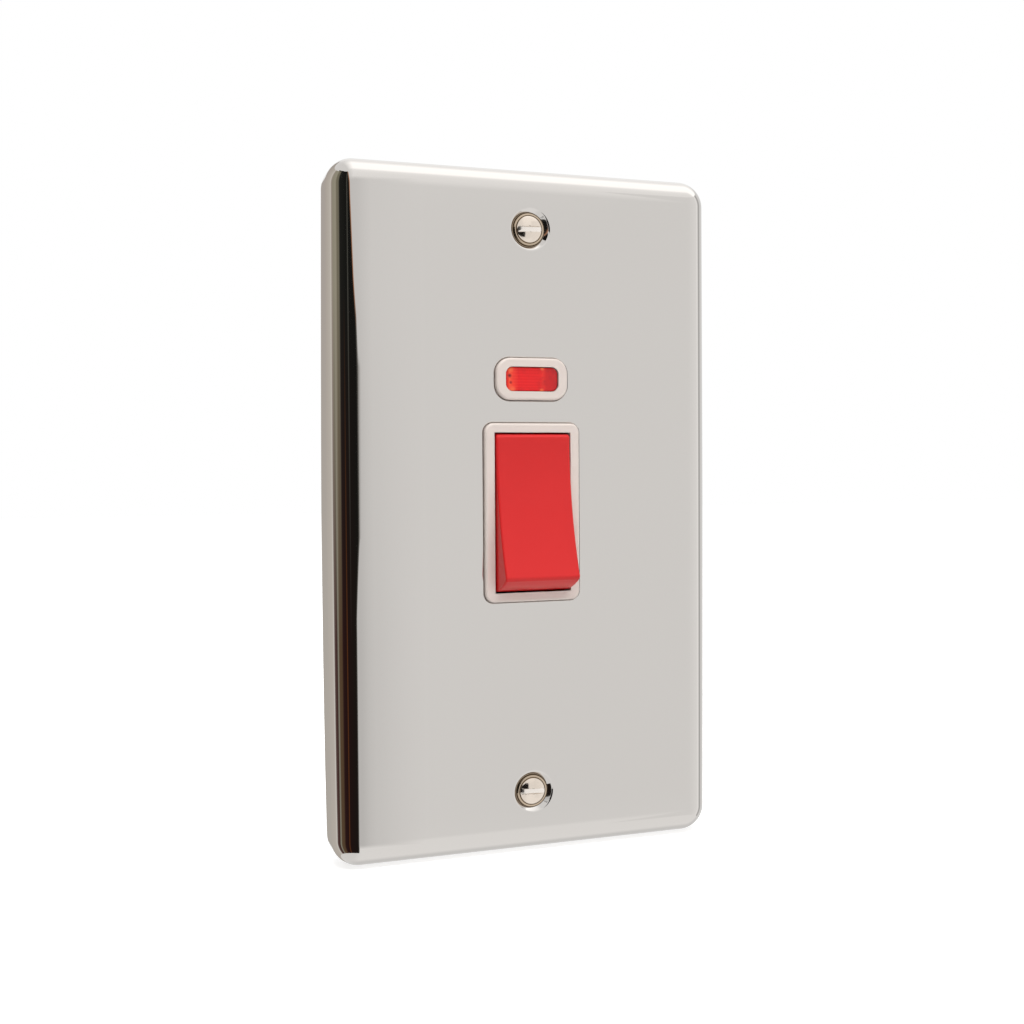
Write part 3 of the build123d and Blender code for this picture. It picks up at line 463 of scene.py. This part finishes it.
def finish(name, group, scales, shades, rough, bump, plain):
    """A material whose colour, roughness and relief follow one of the two groups.

    shades are the two ends of its colour, rough the two ends of its roughness, bump the
    relief in metres, and plain the shader's values that are the same all over."""
    material, tree = new_material(name)
    shader = tree.nodes["Principled BSDF"]
    for socket, value in plain.items():
        shader.inputs[socket.replace("_", " ")].default_value = value
    skin = add(tree, "ShaderNodeGroup", node_tree=group)
    for socket, value in zip(skin.inputs, scales):
        socket.default_value = value
    tree.links.new(mixed(tree, skin.outputs[0], *shades), shader.inputs["Base Color"])
    tree.links.new(span(tree, skin.outputs[1], *rough), shader.inputs["Roughness"])
    relief(tree, shader, skin.outputs["Height"], {"Strength": 1.0, "Distance": bump})
    return material


def plastic(name, shades, rough=(0.3, 0.42), scales=PLASTIC_SCALES, bump=SKIN_RELIEF, **plain):
    return finish(name, moulded_group, scales, shades, rough, bump, plain)


def metal(name, shades, rough=(0.2, 0.35), scales=METAL_SCALES, bump=SKIN_RELIEF):
    return finish(name, metal_group, scales, shades, rough, bump, {"Metallic": 1.0})


def lens_red():
    """Clear red over fine level ribs, with a painted glow at its left end and painted shade that makes it
    deeper at its right.
    """
    material, tree = new_material("red_lens")
    shader = tree.nodes["Principled BSDF"]
    for socket, value in LENS_BODY.items():
        shader.inputs[socket].default_value = value
    axes = split(tree, object_place(tree))
    along = shade_ramp(tree, axes["X"], LENS_RED_AND_PAINTED_LIGHT)
    sine = math_node(tree, "SINE", math_node(tree, "MULTIPLY", axes["Z"], math.tau / RIB_HEIGHT))
    from_left = span(tree, axes["X"], 0.0, 1.0, *RIBS_START)
    to_right = span(tree, axes["X"], 1.0, 0.0, *RIBS_END)
    wave = math_node(tree, "MULTIPLY", sine, math_node(tree, "MULTIPLY", from_left, to_right))
    ribs = mixed(tree, span(tree, wave, 0.0, 1.0, -1.0, 1.0), *RIB_TINTS)
    ribbed = mixed(tree, 1.0, along, ribs, blend="MULTIPLY")
    skin = add(tree, "ShaderNodeGroup", LENS_SKIN, node_tree=moulded_group)
    cloudy = span(tree, skin.outputs["Cloud"], 0.0, CLOUD_MOST, *CLOUD_ONSET)
    outer = span(tree, to_right, 1.0, CLOUD_AMONG_RIBS)
    shown = mixed(tree, math_node(tree, "MULTIPLY", cloudy, outer), ribbed, CLOUD_SHADE)
    place = upright(tree, axes["X"], axes["Z"])
    for spot_x, spot_z, reach, colour in LENS_SPOTS:
        spot = (spot_x, 0.0, NEON_HEIGHT + spot_z)
        away = add(tree, "ShaderNodeVectorMath", {1: spot}, operation="DISTANCE")
        tree.links.new(place, away.inputs[0])
        near = span(tree, away.outputs["Value"], 1.0, 0.0, SPOT_CORE * reach, reach)
        shown = mixed(tree, near, shown, colour)
    tree.links.new(shown, shader.inputs["Base Color"])
    tree.links.new(span(tree, skin.outputs["Grain"], *LENS_ROUGH), shader.inputs["Roughness"])
    relief(tree, shader, wave, RIB_RELIEF)
    return material


def painted_ring_shade_and_slot_floor(material):
    """Painted shade in brown rings around the axes of both fixing screws, and a brighter floor in their
    slots.
    """
    tree = material.node_tree
    colour = tree.nodes["Principled BSDF"].inputs["Base Color"]
    axes = split(tree, object_place(tree))
    rise = math_node(tree, "SUBTRACT", math_node(tree, "ABSOLUTE", axes["Z"]), FIXING_HEIGHT)
    reach = add(tree, "ShaderNodeVectorMath", operation="LENGTH")
    tree.links.new(upright(tree, axes["X"], rise), reach.inputs[0])
    rings = shade_ramp(tree, reach.outputs["Value"], PAINTED_RING_SHADE)
    across = span(tree, math_node(tree, "ABSOLUTE", rise), 1.0, 0.0, *SLOT_FLOOR_ACROSS)
    out = span(tree, reach.outputs["Value"], 1.0, 0.0, *SLOT_FLOOR_OUT)
    slot_floor = math_node(tree, "MULTIPLY", across, out)
    plain = mixed(tree, slot_floor, colour.links[0].from_socket, SLOT_FLOOR_SHADE)
    tree.links.new(mixed(tree, 1.0, plain, rings, blend="MULTIPLY"), colour)
    return material


materials = {
    "polished_plate": metal(
        "polished_plate", ((0.598, 0.573, 0.547), (0.610, 0.585, 0.559)),
        rough=(0.035, 0.06), scales=(25.0, 500.0), bump=0.0002 * MM),
    "plate_inside": metal(
        "plate_inside", ((0.38, 0.37, 0.36), (0.52, 0.51, 0.49)), rough=(0.28, 0.45)),
    "nickel_screws": painted_ring_shade_and_slot_floor(metal(
        "nickel_screws", ((0.66, 0.575, 0.49), (0.76, 0.68, 0.60)),
        rough=(0.09, 0.15), scales=(300.0, 2500.0), bump=0.0002 * MM)),
    "plated_steel": metal("plated_steel", ((0.50, 0.49, 0.44), (0.66, 0.66, 0.62))),
    "brass": metal("brass", ((0.62, 0.40, 0.14), (0.78, 0.56, 0.25)), rough=(0.2, 0.38)),
    "copper_alloy": metal("copper_alloy", ((0.68, 0.32, 0.16), (0.82, 0.47, 0.27))),
    "silver_tips": metal("silver_tips", ((0.72, 0.71, 0.68), (0.86, 0.85, 0.83))),
    "spring_steel": metal("spring_steel", ((0.36, 0.35, 0.34), (0.52, 0.51, 0.50))),
    "white_moulding": plastic(
        "white_moulding", ((0.700, 0.612, 0.560), (0.735, 0.643, 0.590)), rough=(0.26, 0.36)),
    "red_rocker": plastic(
        "red_rocker", ((0.59, 0.013, 0.013), (0.64, 0.016, 0.016)), rough=(0.26, 0.33),
        scales=(60.0, 900.0), bump=0.0003 * MM, Specular_IOR_Level=0.30),
    "red_lens": lens_red(),
    "lamp_glass": plastic(
        "lamp_glass", ((0.90, 0.88, 0.86), (0.97, 0.95, 0.93)), rough=(0.02, 0.06),
        Transmission_Weight=1.0, IOR=1.5),
    "grey_housing": plastic(
        "grey_housing", ((0.45, 0.45, 0.425), (0.54, 0.54, 0.51)), rough=(0.38, 0.55),
        scales=(80.0, 1800.0), bump=0.012 * MM),
    "lead_sleeve": plastic("lead_sleeve", ((0.70, 0.66, 0.58), (0.80, 0.77, 0.70))),
    "resistor_coat": plastic("resistor_coat", ((0.32, 0.22, 0.13), (0.42, 0.30, 0.19))),
    "nylon": plastic("nylon", ((0.78, 0.76, 0.68), (0.86, 0.84, 0.77)), Subsurface_Weight=0.15),
}


# Mesh helpers

def loose(name, bm):
    """An object with a finished mesh, not in the scene yet."""
    mesh = bpy.data.meshes.new(name)
    bm.to_mesh(mesh)
    bm.free()
    return bpy.data.objects.new(name, mesh)


def baked(name, thing):
    """A new mesh with the modifiers of a loose object worked into it."""
    scene.collection.objects.link(thing)
    shape = thing.evaluated_get(bpy.context.evaluated_depsgraph_get())
    mesh = bpy.data.meshes.new_from_object(shape)
    mesh.name = name
    bpy.data.objects.remove(thing)
    return mesh


def coat(thing, *finishes):
    for finish_name in finishes:
        thing.data.materials.append(materials[finish_name])


def settle(thing, body, nodes):
    """Makes an object a piece of the part, in place of its nodes."""
    scene.collection.objects.link(thing)
    thing.data.shade_smooth()
    thing.data.set_sharp_from_angle(angle=math.radians(SHARP_ANGLE))
    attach(thing, body)
    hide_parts(*nodes)


def rounded(bm, geom, size, steps, affect="EDGES"):
    return bmesh.ops.bevel(
        bm, geom=geom, offset=size, offset_type="OFFSET", segments=steps, profile=0.5, affect=affect,
        material=-1, clamp_overlap=False)


def turned(bm, verts, edges, centre):
    """A full turn of a profile about an axis that runs from front to back."""
    bmesh.ops.spin(
        bm, geom=[*verts, *edges], cent=centre, axis=(0.0, 1.0, 0.0), angle=math.tau, steps=ROUND_STEPS,
        use_merge=True)


def chain(bm, points):
    verts = [bm.verts.new(point) for point in points]
    return verts, [bm.edges.new(pair) for pair in zip(verts, verts[1:])]


def largest(bm):
    return max(bm.faces, key=lambda face: face.calc_area())


def on_face(width, height, middle_z, y):
    """Turns the flat shapes made in the XY plane to stand upright, facing forward."""
    stretch = Matrix.Diagonal((width / 2, height / 2, 1.0, 1.0))
    return Matrix.Translation((0.0, y, middle_z)) @ Matrix.Rotation(math.radians(90), 4, "X") @ stretch


def rounded_panel(bm, width, height, corner, middle_z, y):
    made = bmesh.ops.create_grid(
        bm, x_segments=1, y_segments=1, size=1.0, matrix=on_face(width, height, middle_z, y))
    bent = rounded(bm, made["verts"], corner, CORNER_STEPS, "VERTICES")
    return bent["verts"][0].link_faces[0]


# Faceplate, a pressed sheet with two dimples and two pierced openings

def draw_in_walls(bm):
    """The back edges of a pressed tray's long walls lean in towards its corners."""
    for step in range(1, WALL_STEPS):
        level = (plate_height - 2 * PLATE_EDGE) * (step / WALL_STEPS - 0.5)
        bmesh.ops.bisect_plane(
            bm, geom=[*bm.verts, *bm.edges, *bm.faces], plane_co=(0.0, 0.0, level),
            plane_no=(0.0, 0.0, 1.0))
    depth = plate_high.y - face_y
    for vert in bm.verts:
        upper = vert.co.z > 0
        share = abs(2 * vert.co.z / plate_height)**WALL_POWER[upper]
        pull = WALL_PULL[upper] * share * (vert.co.y - face_y) / depth
        vert.co.x *= 1 - pull / (plate_width / 2)


def pressed_tray(bm):
    """The plate's walls and rounded edges, with its face left open inside a flat border."""
    back = rounded_panel(bm, plate_width, plate_height, PLATE_EDGE + FACE_CORNER, 0.0, plate_high.y)
    grown = bmesh.ops.extrude_face_region(bm, geom=[back])["geom"]
    bmesh.ops.translate(
        bm, verts=[item for item in grown if isinstance(item, bmesh.types.BMVert)],
        vec=(0.0, face_y - plate_high.y, 0.0))
    front = next(item for item in grown if isinstance(item, bmesh.types.BMFace))
    behind = [face for face in bm.faces if face.calc_center_median().y > plate_high.y - FACE_BORDER]
    bmesh.ops.delete(bm, geom=behind, context="FACES_ONLY")
    rounded(bm, list(front.edges), PLATE_EDGE, EDGE_STEPS)
    bmesh.ops.inset_individual(bm, faces=[largest(bm)], thickness=FACE_BORDER, use_even_offset=True)
    bmesh.ops.delete(bm, geom=[largest(bm)], context="FACES_ONLY")
    draw_in_walls(bm)


def pressed_dimple(bm, height):
    mouth = Vector((DIMPLE_RADIUS, face_y, height))
    inward = DIMPLE_RADIUS - FIXING_HOLE_RADIUS
    fall = inward * math.tan(math.radians(DIMPLE_SLOPE))
    start = bm.verts.new(mouth + Vector((DIMPLE_BORDER, 0.0, 0.0)))
    corner = bm.verts.new(mouth)
    end = bm.verts.new(mouth + Vector((-inward, fall, 0.0)))
    bm.edges.new((start, corner))
    bm.edges.new((corner, end))
    blend = DIMPLE_BLEND * math.tan(math.radians(DIMPLE_SLOPE / 2))
    bent = rounded(bm, [corner], blend, DIMPLE_STEPS, "VERTICES")
    edges = dict.fromkeys(edge for vert in (start, end, *bent["verts"]) for edge in vert.link_edges)
    verts = dict.fromkeys(vert for edge in edges for vert in edge.verts)
    turned(bm, verts, edges, (0.0, face_y, height))


def fill_face(bm):
    """The flat face between the border, the dimples and the two openings."""
    wider = PIERCED_GAP + PIERCED_BORDER
    openings = (
        (RIM_WIDTH, RIM_HEIGHT, RIM_CORNER, 0.0),
        (NEON_WIDTH, NEON_TALL, NEON_CORNER, NEON_HEIGHT),
    )
    blanks = [
        rounded_panel(bm, width + 2 * wider, height + 2 * wider, corner + wider, middle_z, face_y)
        for width, height, corner, middle_z in openings
    ]
    bmesh.ops.inset_individual(bm, faces=blanks, thickness=PIERCED_BORDER, use_even_offset=True)
    flat = [
        edge for edge in bm.edges
        if len(edge.link_faces) < 2 and all(abs(vert.co.y - face_y) < FLAT for vert in edge.verts)
    ]
    bmesh.ops.triangle_fill(bm, edges=flat, use_beauty=True, use_dissolve=False, normal=(0.0, -1.0, 0.0))
    bmesh.ops.delete(bm, geom=blanks, context="FACES_ONLY")
    bmesh.ops.remove_doubles(bm, verts=bm.verts, dist=WELD)


def square_dimple(bm, height):
    """Behind the sheet, the tight bend at the dimple's mouth closes up to one ring."""
    back_y = face_y + PLATE_SHEET
    ring = DIMPLE_RADIUS + PLATE_SHEET * math.tan(math.radians(DIMPLE_SLOPE / 2))
    border = DIMPLE_RADIUS + DIMPLE_BORDER
    for vert in bm.verts:
        out = Vector((vert.co.x, 0.0, vert.co.z - height))
        folded = vert.co.y < back_y - FOLD_MARGIN or out.length < border - FOLD_MARGIN
        near = abs(vert.co.y - back_y) < FOLD_REACH and abs(out.length - ring) < FOLD_REACH
        if near and folded:
            vert.co = out.normalized() * ring + Vector((0.0, back_y, height))


def ease_cuts(mesh):
    """Closes the folds behind both dimples, and rounds both openings' edges as the punch leaves them."""
    bm = bmesh.new()
    bm.from_mesh(mesh)
    for height in (FIXING_HEIGHT, -FIXING_HEIGHT):
        square_dimple(bm, height)
    bmesh.ops.remove_doubles(bm, verts=bm.verts, dist=WELD)
    highest = NEON_HEIGHT + NEON_TALL
    cut = [
        edge for edge in bm.edges
        if edge.is_manifold and edge.calc_face_angle() > math.radians(CUT_ANGLE)
        and all(abs(vert.co.x) < RIM_WIDTH and abs(vert.co.z) < highest for vert in edge.verts)
    ]
    rounded(bm, cut, CUT_ROUND, CUT_STEPS)
    bm.to_mesh(mesh)
    bm.free()


def faceplate():
    bm = bmesh.new()
    pressed_tray(bm)
    for height in (FIXING_HEIGHT, -FIXING_HEIGHT):
        pressed_dimple(bm, height)
    fill_face(bm)
    bmesh.ops.recalc_face_normals(bm, faces=bm.faces)
    if largest(bm).normal.y > 0:
        bmesh.ops.reverse_faces(bm, faces=bm.faces)
    skin = loose("faceplate_skin", bm)
    coat(skin, "polished_plate", "plate_inside")
    wall = skin.modifiers.new("sheet", "SOLIDIFY")
    wall.thickness = PLATE_SHEET
    wall.offset = -1.0
    wall.use_even_offset = True
    wall.material_offset = 1
    wall.material_offset_rim = 0
    sheet = bpy.data.objects.new("pressed_faceplate", baked("pressed_faceplate", skin))
    ease_cuts(sheet.data)
    settle(sheet, "switch", ["faceplate"])


# Fixing screws, turned blanks with a sawn slot and a rolled thread

def screw_blank(bm, height):
    """Head, neck and core, turned from one profile; returns where its thread starts."""
    head_y = face_y - HEAD_PROUD
    cone_y = face_y + HEAD_DEPTH
    neck_y = cone_y + HEAD_RADIUS - NECK_RADIUS
    thread_y = neck_y + NECK_LENGTH
    point_y = thread_y + THREAD_LENGTH
    reaches = [DOME_REACH * step / DOME_STEPS for step in range(DOME_STEPS + 1)]
    profile = [(reach, head_y + HEAD_BALL - math.sqrt(HEAD_BALL**2 - reach**2)) for reach in reaches]
    turns = [math.pi / 2 * step / SHOULDER_STEPS for step in range(SHOULDER_STEPS + 1)]
    profile += [
        (DOME_FOOT + (HEAD_RADIUS - DOME_FOOT) * math.sin(turn), cone_y - SHOULDER_DROP * math.cos(turn))
        for turn in turns
    ]
    profile += [
        (NECK_RADIUS, neck_y),
        (NECK_RADIUS, thread_y),
        (CORE_RADIUS, thread_y + NECK_RADIUS - CORE_RADIUS),
        (CORE_RADIUS, point_y),
        (CORE_RADIUS - POINT_CHAMFER, point_y + POINT_CHAMFER),
        (0.0, point_y + POINT_CHAMFER),
    ]
    verts, edges = chain(bm, [(radius, y, height) for radius, y in profile])
    turned(bm, verts, edges, (0.0, 0.0, height))
    return thread_y


def rolled_thread(bm, height, thread_y):
    """One helical ridge, closed at both ends, sunk a little into the core."""
    root = CORE_RADIUS - THREAD_SINK
    verts, edges = chain(bm, [
        (root, thread_y, height),
        (CREST_RADIUS, thread_y + THREAD_FLANK, height),
        (root, thread_y + 2 * THREAD_FLANK, height),
    ])
    edges.append(bm.edges.new((verts[2], verts[0])))
    turns = THREAD_LENGTH / THREAD_PITCH - 1
    old = set(bm.edges) - set(edges)
    bmesh.ops.spin(
        bm, geom=[*verts, *edges], cent=(0.0, 0.0, height), axis=(0.0, 1.0, 0.0),
        dvec=(0.0, THREAD_PITCH / THREAD_STEPS, 0.0), angle=turns * math.tau,
        steps=round(turns * THREAD_STEPS))
    ends = [edge for edge in bm.edges if edge not in old and edge.is_boundary]
    bmesh.ops.holes_fill(bm, edges=ends, sides=3)


def slot_saw(heights):
    """One block for each slot, to be cut out of the heads."""
    bm = bmesh.new()
    size = Matrix.Diagonal((2 * DOME_FOOT, 2 * SLOT_DEPTH, SLOT_WIDTH, 1.0))
    for height, turn in zip(heights, SLOT_TURNS):
        spot = Matrix.Translation((0.0, face_y - HEAD_PROUD, height))
        tilt = Matrix.Rotation(-math.radians(turn), 4, "Y")
        bmesh.ops.create_cube(bm, size=1.0, matrix=spot @ tilt @ size)
    saw = loose("slot_saw", bm)
    scene.collection.objects.link(saw)
    return saw


def fixing_screws():
    heights = (FIXING_HEIGHT, -FIXING_HEIGHT)
    bm = bmesh.new()
    for height in heights:
        thread_y = screw_blank(bm, height)
    bmesh.ops.remove_doubles(bm, verts=bm.verts, dist=WELD)
    bmesh.ops.recalc_face_normals(bm, faces=bm.faces)
    blanks = loose("screw_blanks", bm)
    saw = slot_saw(heights)
    slot = blanks.modifiers.new("slot", "BOOLEAN")
    slot.operation = "DIFFERENCE"
    slot.object = saw
    eased = blanks.modifiers.new("eased", "BEVEL")
    eased.width = SLOT_ROUND
    eased.segments = SLOT_STEPS
    eased.use_clamp_overlap = False
    eased.limit_method = "ANGLE"
    eased.angle_limit = math.radians(SLOT_ANGLE)
    bm = bmesh.new()
    bm.from_mesh(baked("slotted_blanks", blanks))
    bpy.data.objects.remove(saw)
    for height in heights:
        rolled_thread(bm, height, thread_y)
    bmesh.ops.recalc_face_normals(bm, faces=bm.faces)
    screws = loose("threaded_fixing_screws", bm)
    coat(screws, "nickel_screws")
    settle(screws, "switch", ["fixing_screws"])


faceplate()
fixing_screws()


# Carried-over nodes, each in its own finish

for shown in frame["nodes"].values():
    shown.material_slots[0].material = materials[shown.data.materials[0].name]


# Springs, each given a mesh of its own

def sprung(coil):
    """Gives a coil a mesh of its own, as a copy of the one it had."""
    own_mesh(coil)


for joint in frame["record"]["behaviour"]["joints"]:
    for spring in joint.get("deforming_nodes", ()):
        sprung(frame["nodes"][spring["node"]])


# Camera

def make_camera():
    azimuth = math.radians(CAMERA_AZIMUTH)
    elevation = math.radians(CAMERA_ELEVATION)
    roll = math.radians(CAMERA_ROLL)
    back = Vector((
        math.sin(azimuth) * math.cos(elevation),
        -math.cos(azimuth) * math.cos(elevation),
        math.sin(elevation),
    ))
    level = (-back).cross(Vector((0.0, 0.0, 1.0))).normalized()
    plumb = level.cross(-back)
    right = level * math.cos(roll) + plumb * math.sin(roll)
    up = plumb * math.cos(roll) - level * math.sin(roll)
    spot = back * CAMERA_DISTANCE + right * CAMERA_SLIDE[0] + up * CAMERA_SLIDE[1]
    camera = bpy.data.objects.new("camera", bpy.data.cameras.new("camera"))
    camera.data.sensor_width = SENSOR_WIDTH
    camera.data.lens = FOCAL_LENGTH
    camera.data.clip_start, camera.data.clip_end = CAMERA_CLIP
    camera.matrix_world = Matrix.Translation(spot) @ Matrix((right, up, back)).transposed().to_4x4()
    scene.collection.objects.link(camera)
    scene.camera = camera


make_camera()


# Studio

def seen_white(tree):
    """1 for the rays that show the background: straight, mirrored or through glass."""
    path = add(tree, "ShaderNodeLightPath")
    seen = math_node(tree, "MAXIMUM", path.outputs["Is Camera Ray"], path.outputs["Is Glossy Ray"])
    return math_node(tree, "MAXIMUM", seen, path.outputs["Is Transmission Ray"])


def make_world():
    world = bpy.data.worlds.new("white_studio")
    scene.world = world
    world.use_nodes = True
    tree = world.node_tree
    sky = tree.nodes["Background"]
    sky.inputs["Color"].default_value = WHITE
    tree.links.new(span(tree, seen_white(tree), AMBIENT, 1.0), sky.inputs["Strength"])


def glow_material(name):
    """A material that only glows, its tree and the node that glows."""
    material, tree = new_material(name)
    tree.nodes.remove(tree.nodes["Principled BSDF"])
    glow = add(tree, "ShaderNodeEmission")
    tree.links.new(glow.outputs["Emission"], tree.nodes["Material Output"].inputs["Surface"])
    return material, tree, glow


def make_floor():
    bm = bmesh.new()
    spot = Matrix.Translation((0.0, 0.0, plate_low.z - FLOOR_GAP))
    bmesh.ops.create_grid(bm, x_segments=1, y_segments=1, size=FLOOR_SIZE / 2, matrix=spot)
    floor = loose("floor", bm)
    scene.collection.objects.link(floor)
    material, tree, glow = glow_material("pale_floor")
    tree.links.new(span(tree, seen_white(tree), 0.0, FLOOR_GLOW), glow.inputs["Strength"])
    matt = add(tree, "ShaderNodeBsdfDiffuse", {"Color": (FLOOR_GREY, FLOOR_GREY, FLOOR_GREY, 1.0)})
    both = add(tree, "ShaderNodeAddShader")
    tree.links.new(matt.outputs["BSDF"], both.inputs[0])
    tree.links.new(glow.outputs["Emission"], both.inputs[1])
    tree.links.new(both.outputs["Shader"], tree.nodes["Material Output"].inputs["Surface"])
    floor.data.materials.append(material)
    floor.visible_glossy = False


def mirrored_only(thing, material):
    """A studio card that shows only in shiny surfaces."""
    thing.data.materials.append(material)
    scene.collection.objects.link(thing)
    for kind in ("camera", "diffuse", "transmission", "volume_scatter", "shadow"):
        setattr(thing, "visible_" + kind, False)


def curved_screen(name, centre, radius, azimuths, heights, material):
    """An upright screen, curved about a centre."""
    bm = bmesh.new()
    start, end = (math.radians(value) for value in azimuths)
    foot = Vector(centre) + Vector((math.sin(start), -math.cos(start), 0.0)) * radius
    verts, edges = chain(bm, [foot + Vector((0.0, 0.0, value)) for value in heights])
    bmesh.ops.spin(
        bm, geom=[*verts, *edges], cent=centre, axis=(0.0, 0.0, 1.0), angle=end - start,
        steps=SCREEN_STEPS)
    mirrored_only(loose(name, bm), material)


def place_about(tree, centre):
    """Azimuth in degrees about an upright line, and the coordinates from it."""
    place = add(tree, "ShaderNodeMapping", {"Location": -Vector(centre)})
    tree.links.new(object_place(tree), place.inputs["Vector"])
    axes = split(tree, place.outputs["Vector"])
    ahead = math_node(tree, "MULTIPLY", axes["Y"], -1.0)
    turn = math_node(tree, "ARCTAN2", axes["X"], ahead)
    return math_node(tree, "DEGREES", turn), axes


def dark_flag():
    """The screen in the plate's left edge; its pale part thins out to the right and at both ends."""
    centre = (plate_low.x + PLATE_EDGE, face_y + PLATE_EDGE, 0.0)
    material, tree, glow = glow_material("dark_flag")
    azimuth, axes = place_about(tree, centre)
    first, last = FLAG_SWING
    shares = [(height, (angle - first) / (last - first)) for height, angle in FLAG_END]
    dark_end = span(tree, shade_ramp(tree, axes["Z"], greys(shares)), first, last)
    past = math_node(tree, "SUBTRACT", azimuth, dark_end)
    high = span(tree, axes["Z"], 0.0, 1.0, *FLAG_CHANGE)
    dark = mixed(tree, high, shade_ramp(tree, azimuth, FLAG_LOW), shade_ramp(tree, azimuth, FLAG_HIGH))
    pale_low = shade_ramp(tree, azimuth, greys(FLAG_PALE_LOW))
    pale_high = shade_ramp(tree, azimuth, greys(FLAG_PALE_HIGH))
    pale = mixed(tree, high, pale_low, pale_high)
    rim_high = span(tree, axes["Z"], 0.0, 1.0, *FLAG_RIM_CHANGE)
    rim = mixed(tree, rim_high, FLAG_RIM_LOW, FLAG_RIM_HIGH)
    inner = mixed(tree, span(tree, past, 0.0, 1.0, *FLAG_FADE[:2]), dark, rim)
    beyond = span(tree, past, 0.0, 1.0, *FLAG_FADE[1:])
    tree.links.new(mixed(tree, beyond, inner, pale), glow.inputs["Color"])
    side = span(tree, azimuth, 0.0, 1.0, *FLAG_CLEAR_SIDE)
    ends = span(tree, math_node(tree, "ABSOLUTE", axes["Z"]), 0.0, 1.0, *FLAG_CLEAR_ENDS)
    clear = math_node(tree, "MULTIPLY", beyond, math_node(tree, "MAXIMUM", side, ends))
    thinned = add(tree, "ShaderNodeMixShader")
    tree.links.new(clear, thinned.inputs["Fac"])
    tree.links.new(glow.outputs["Emission"], thinned.inputs[1])
    tree.links.new(add(tree, "ShaderNodeBsdfTransparent").outputs["BSDF"], thinned.inputs[2])
    tree.links.new(thinned.outputs["Shader"], tree.nodes["Material Output"].inputs["Surface"])
    curved_screen("dark_flag", centre, FLAG_RADIUS, FLAG_AZIMUTHS, FLAG_HEIGHTS, material)


def far_darkness():
    material, _, glow = glow_material("far_darkness")
    glow.inputs["Color"].default_value = DARK_SHADE
    curved_screen("side_darkness", MIDDLE, SIDE_RADIUS, SIDE_AZIMUTHS, SIDE_HEIGHTS, material)
    curved_screen("low_darkness", MIDDLE, LOW_RADIUS, LOW_AZIMUTHS, LOW_HEIGHTS, material)


def right_return():
    """A pale screen to the right, with one grey strip."""
    material, tree, glow = glow_material("right_return")
    azimuth, _ = place_about(tree, MIDDLE)
    tree.links.new(shade_ramp(tree, azimuth, greys(RETURN_SHADES)), glow.inputs["Color"])
    glow.inputs["Strength"].default_value = RETURN_GLOW
    azimuths = (RETURN_SHADES[0][0], RETURN_SHADES[-1][0])
    curved_screen("right_return", MIDDLE, RETURN_RADIUS, azimuths, RETURN_HEIGHTS, material)


def level_card(name, height, shades):
    """A level card that shades from front to back, and is as bright as the world on its left."""
    material, tree, glow = glow_material(name)
    axes = split(tree, object_place(tree))
    inside = span(tree, axes["X"], 0.0, 1.0, *CARD_LEFT)
    plain = (1.0 / CARD_GLOW,) * 3
    shown = mixed(tree, inside, plain, shade_ramp(tree, axes["Y"], greys(shades)))
    tree.links.new(shown, glow.inputs["Color"])
    glow.inputs["Strength"].default_value = CARD_GLOW
    front, back = shades[0][0], shades[-1][0]
    bm = bmesh.new()
    spot = Matrix.Translation((0.0, (front + back) / 2, height))
    size = Matrix.Diagonal((CARD_HALF_WIDTH, (back - front) / 2, 1.0, 1.0))
    bmesh.ops.create_grid(bm, x_segments=1, y_segments=1, size=1.0, matrix=spot @ size)
    mirrored_only(loose(name, bm), material)


def soft_lamp():
    lamp = bpy.data.lights.new("top_lamp", "AREA")
    lamp.shape = "DISK"
    lamp.size = LAMP_SIZE
    lamp.energy = LAMP_WATTS
    made = bpy.data.objects.new("top_lamp", lamp)
    made.location = LAMP_SPOT
    made.rotation_mode = "QUATERNION"
    made.rotation_quaternion = (Vector(MIDDLE) - Vector(LAMP_SPOT)).to_track_quat("-Z", "Y")
    made.visible_glossy = False
    made.visible_camera = False
    scene.collection.objects.link(made)


make_world()
make_floor()
dark_flag()
far_darkness()
right_return()
level_card("overhead_card", CARD_HEIGHT, TOP_SHADES)
level_card("under_card", -CARD_HEIGHT, UNDER_SHADES)
soft_lamp()
